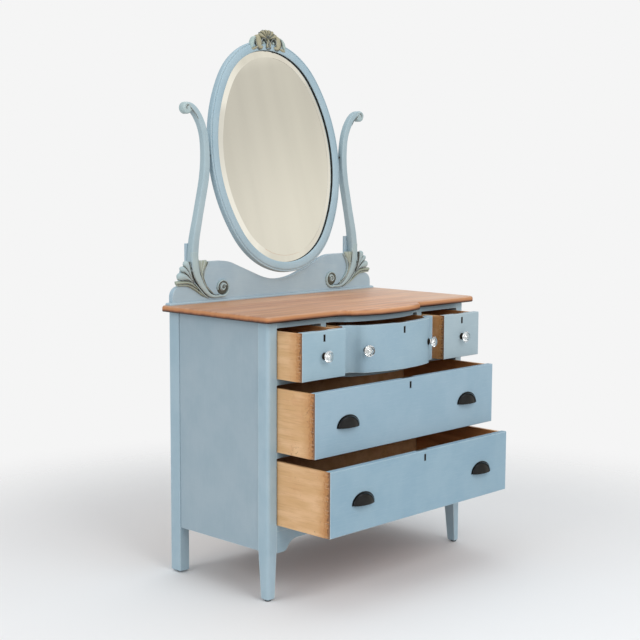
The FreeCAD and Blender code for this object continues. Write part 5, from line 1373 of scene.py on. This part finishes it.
def shell_petal():
    """One petal of the shell, with a raised line along each of its edges."""
    reach, width = 33.0, 13.0
    one = petal(reach, width, 12.0, 0.78)
    for side in (-0.5 * width, 0.5 * width):
        one.join(run([(0, reach * 0.15, 1.2, 7), (side * 0.6, reach * 0.5, 2.0, 11.4),
                      (side, reach * 0.8, 2.0, 9.5), (side * 0.8, reach * 0.92, 1.4, 7)], 0.0, 2.0, 4, 7))
    return one


class DRESSER_OT_crown(bpy.types.Operator):
    """Carved shell on the top of the oval frame"""
    bl_idname = "dresser.crown"
    bl_label = "Crown"

    def execute(self, context):
        ground, foot_z = PIVOT_Y + FRAME_FRONT + 5.0, PIVOT_Z + 385.0
        petals = context.scene.dresser_sizes.petal_count
        for name, shape, count, paint in (
                ("petals", shell_petal(), petals, "rubbed_gold"),
                # dark strips between the petals: painted shadow of the hollows
                ("hollows", run(SHELL_SHADOW_LINE, 0.0, 2.0, 4, 7), petals - 1, "waxed_hollow")):
            shell = shown(f"mirror_crown_{name}",
                          plain_mesh(f"mirror_crown_{name}", [p * MM for p in shape.points], shape.faces))
            grown(shell, "petal fan", petal_tree, Petals=count, Growth=0.12,
                  Step=math.radians(SHELL_SPREAD / (petals - 1)), Focus=place(0, ground, foot_z + 24),
                  Finish=finish(paint))
            for point in shell.data.vertices:
                x, y, z = point.co
                point.co = place(*on_mirror((x / MM, (y - MID_Y) / MM, z / MM)))
            tidy_mesh(shell.data, 40)
            settle(shell, "mirror", ())

        half = carved(CROWN_RUNS, 0, foot_z, ground, 4.0).join(dome(23.5, ground, foot_z + 12.0, 6.0, 12.5))
        half_width, height, droop = 70, 44, 0.05 * math.pi      # outline of the board that the carving lies on
        board = [(half_width * math.cos(a - droop), foot_z + height * math.sin(a - droop) + 1)
                 for a in arc(24, math.pi + 2 * droop, False)]
        form = Form().join(half, half.moved(other_side), carved(PENDANT_RUNS, 0, foot_z, ground, 4.0, 5),
                           lofted([[(x, PIVOT_Y + y, z) for x, z in board] for y in (-9.0, 8.0)]))
        made = form.moved(on_mirror).object("mirror_crown_carved",
                                            ["chalk_paint_crown", "waxed_hollow", "rubbed_gold"])
        settle(made, "mirror", ("mirror_crown",))
        return {"FINISHED"}


# ---- add-on ----------------------------------------------------------------------------------------------

class DRESSER_PT_panel(bpy.types.Panel):
    """Buttons for every piece, and the sizes and colours"""
    bl_label = "Dresser"
    bl_idname = "DRESSER_PT_panel"
    bl_space_type = "VIEW_3D"
    bl_region_type = "UI"
    bl_category = "Dresser"

    def draw(self, context):
        for operator in OPERATORS:
            self.layout.operator(operator.bl_idname)
        for group in (getattr(context.scene, name) for name in GROUPS):
            box = self.layout.box()
            for name in group.bl_rna.properties.keys():
                if name not in ("rna_type", "name"):
                    box.prop(group, name)


OPERATORS = (DRESSER_OT_stage, DRESSER_OT_case, DRESSER_OT_top, DRESSER_OT_drawers, DRESSER_OT_locks,
             DRESSER_OT_knobs, DRESSER_OT_pulls, DRESSER_OT_board, DRESSER_OT_standards, DRESSER_OT_fans,
             DRESSER_OT_mirror, DRESSER_OT_crown)
GROUPS = {"dresser_finish": DresserFinish, "dresser_sizes": DresserSizes, "dresser_stage": DresserStage}


def register():
    for name, group in GROUPS.items():
        bpy.utils.register_class(group)
        setattr(bpy.types.Scene, name, bpy.props.PointerProperty(type=group))
    for made in (*OPERATORS, DRESSER_PT_panel):
        bpy.utils.register_class(made)


def unregister():
    for made in (DRESSER_PT_panel, *reversed(OPERATORS)):
        bpy.utils.unregister_class(made)
    for name, group in GROUPS.items():
        delattr(bpy.types.Scene, name)
        bpy.utils.unregister_class(group)


def main():
    register()
    for operator in OPERATORS:
        group, name = operator.bl_idname.split(".")
        getattr(getattr(bpy.ops, group), name)()


if __name__ == "__main__":
    main()
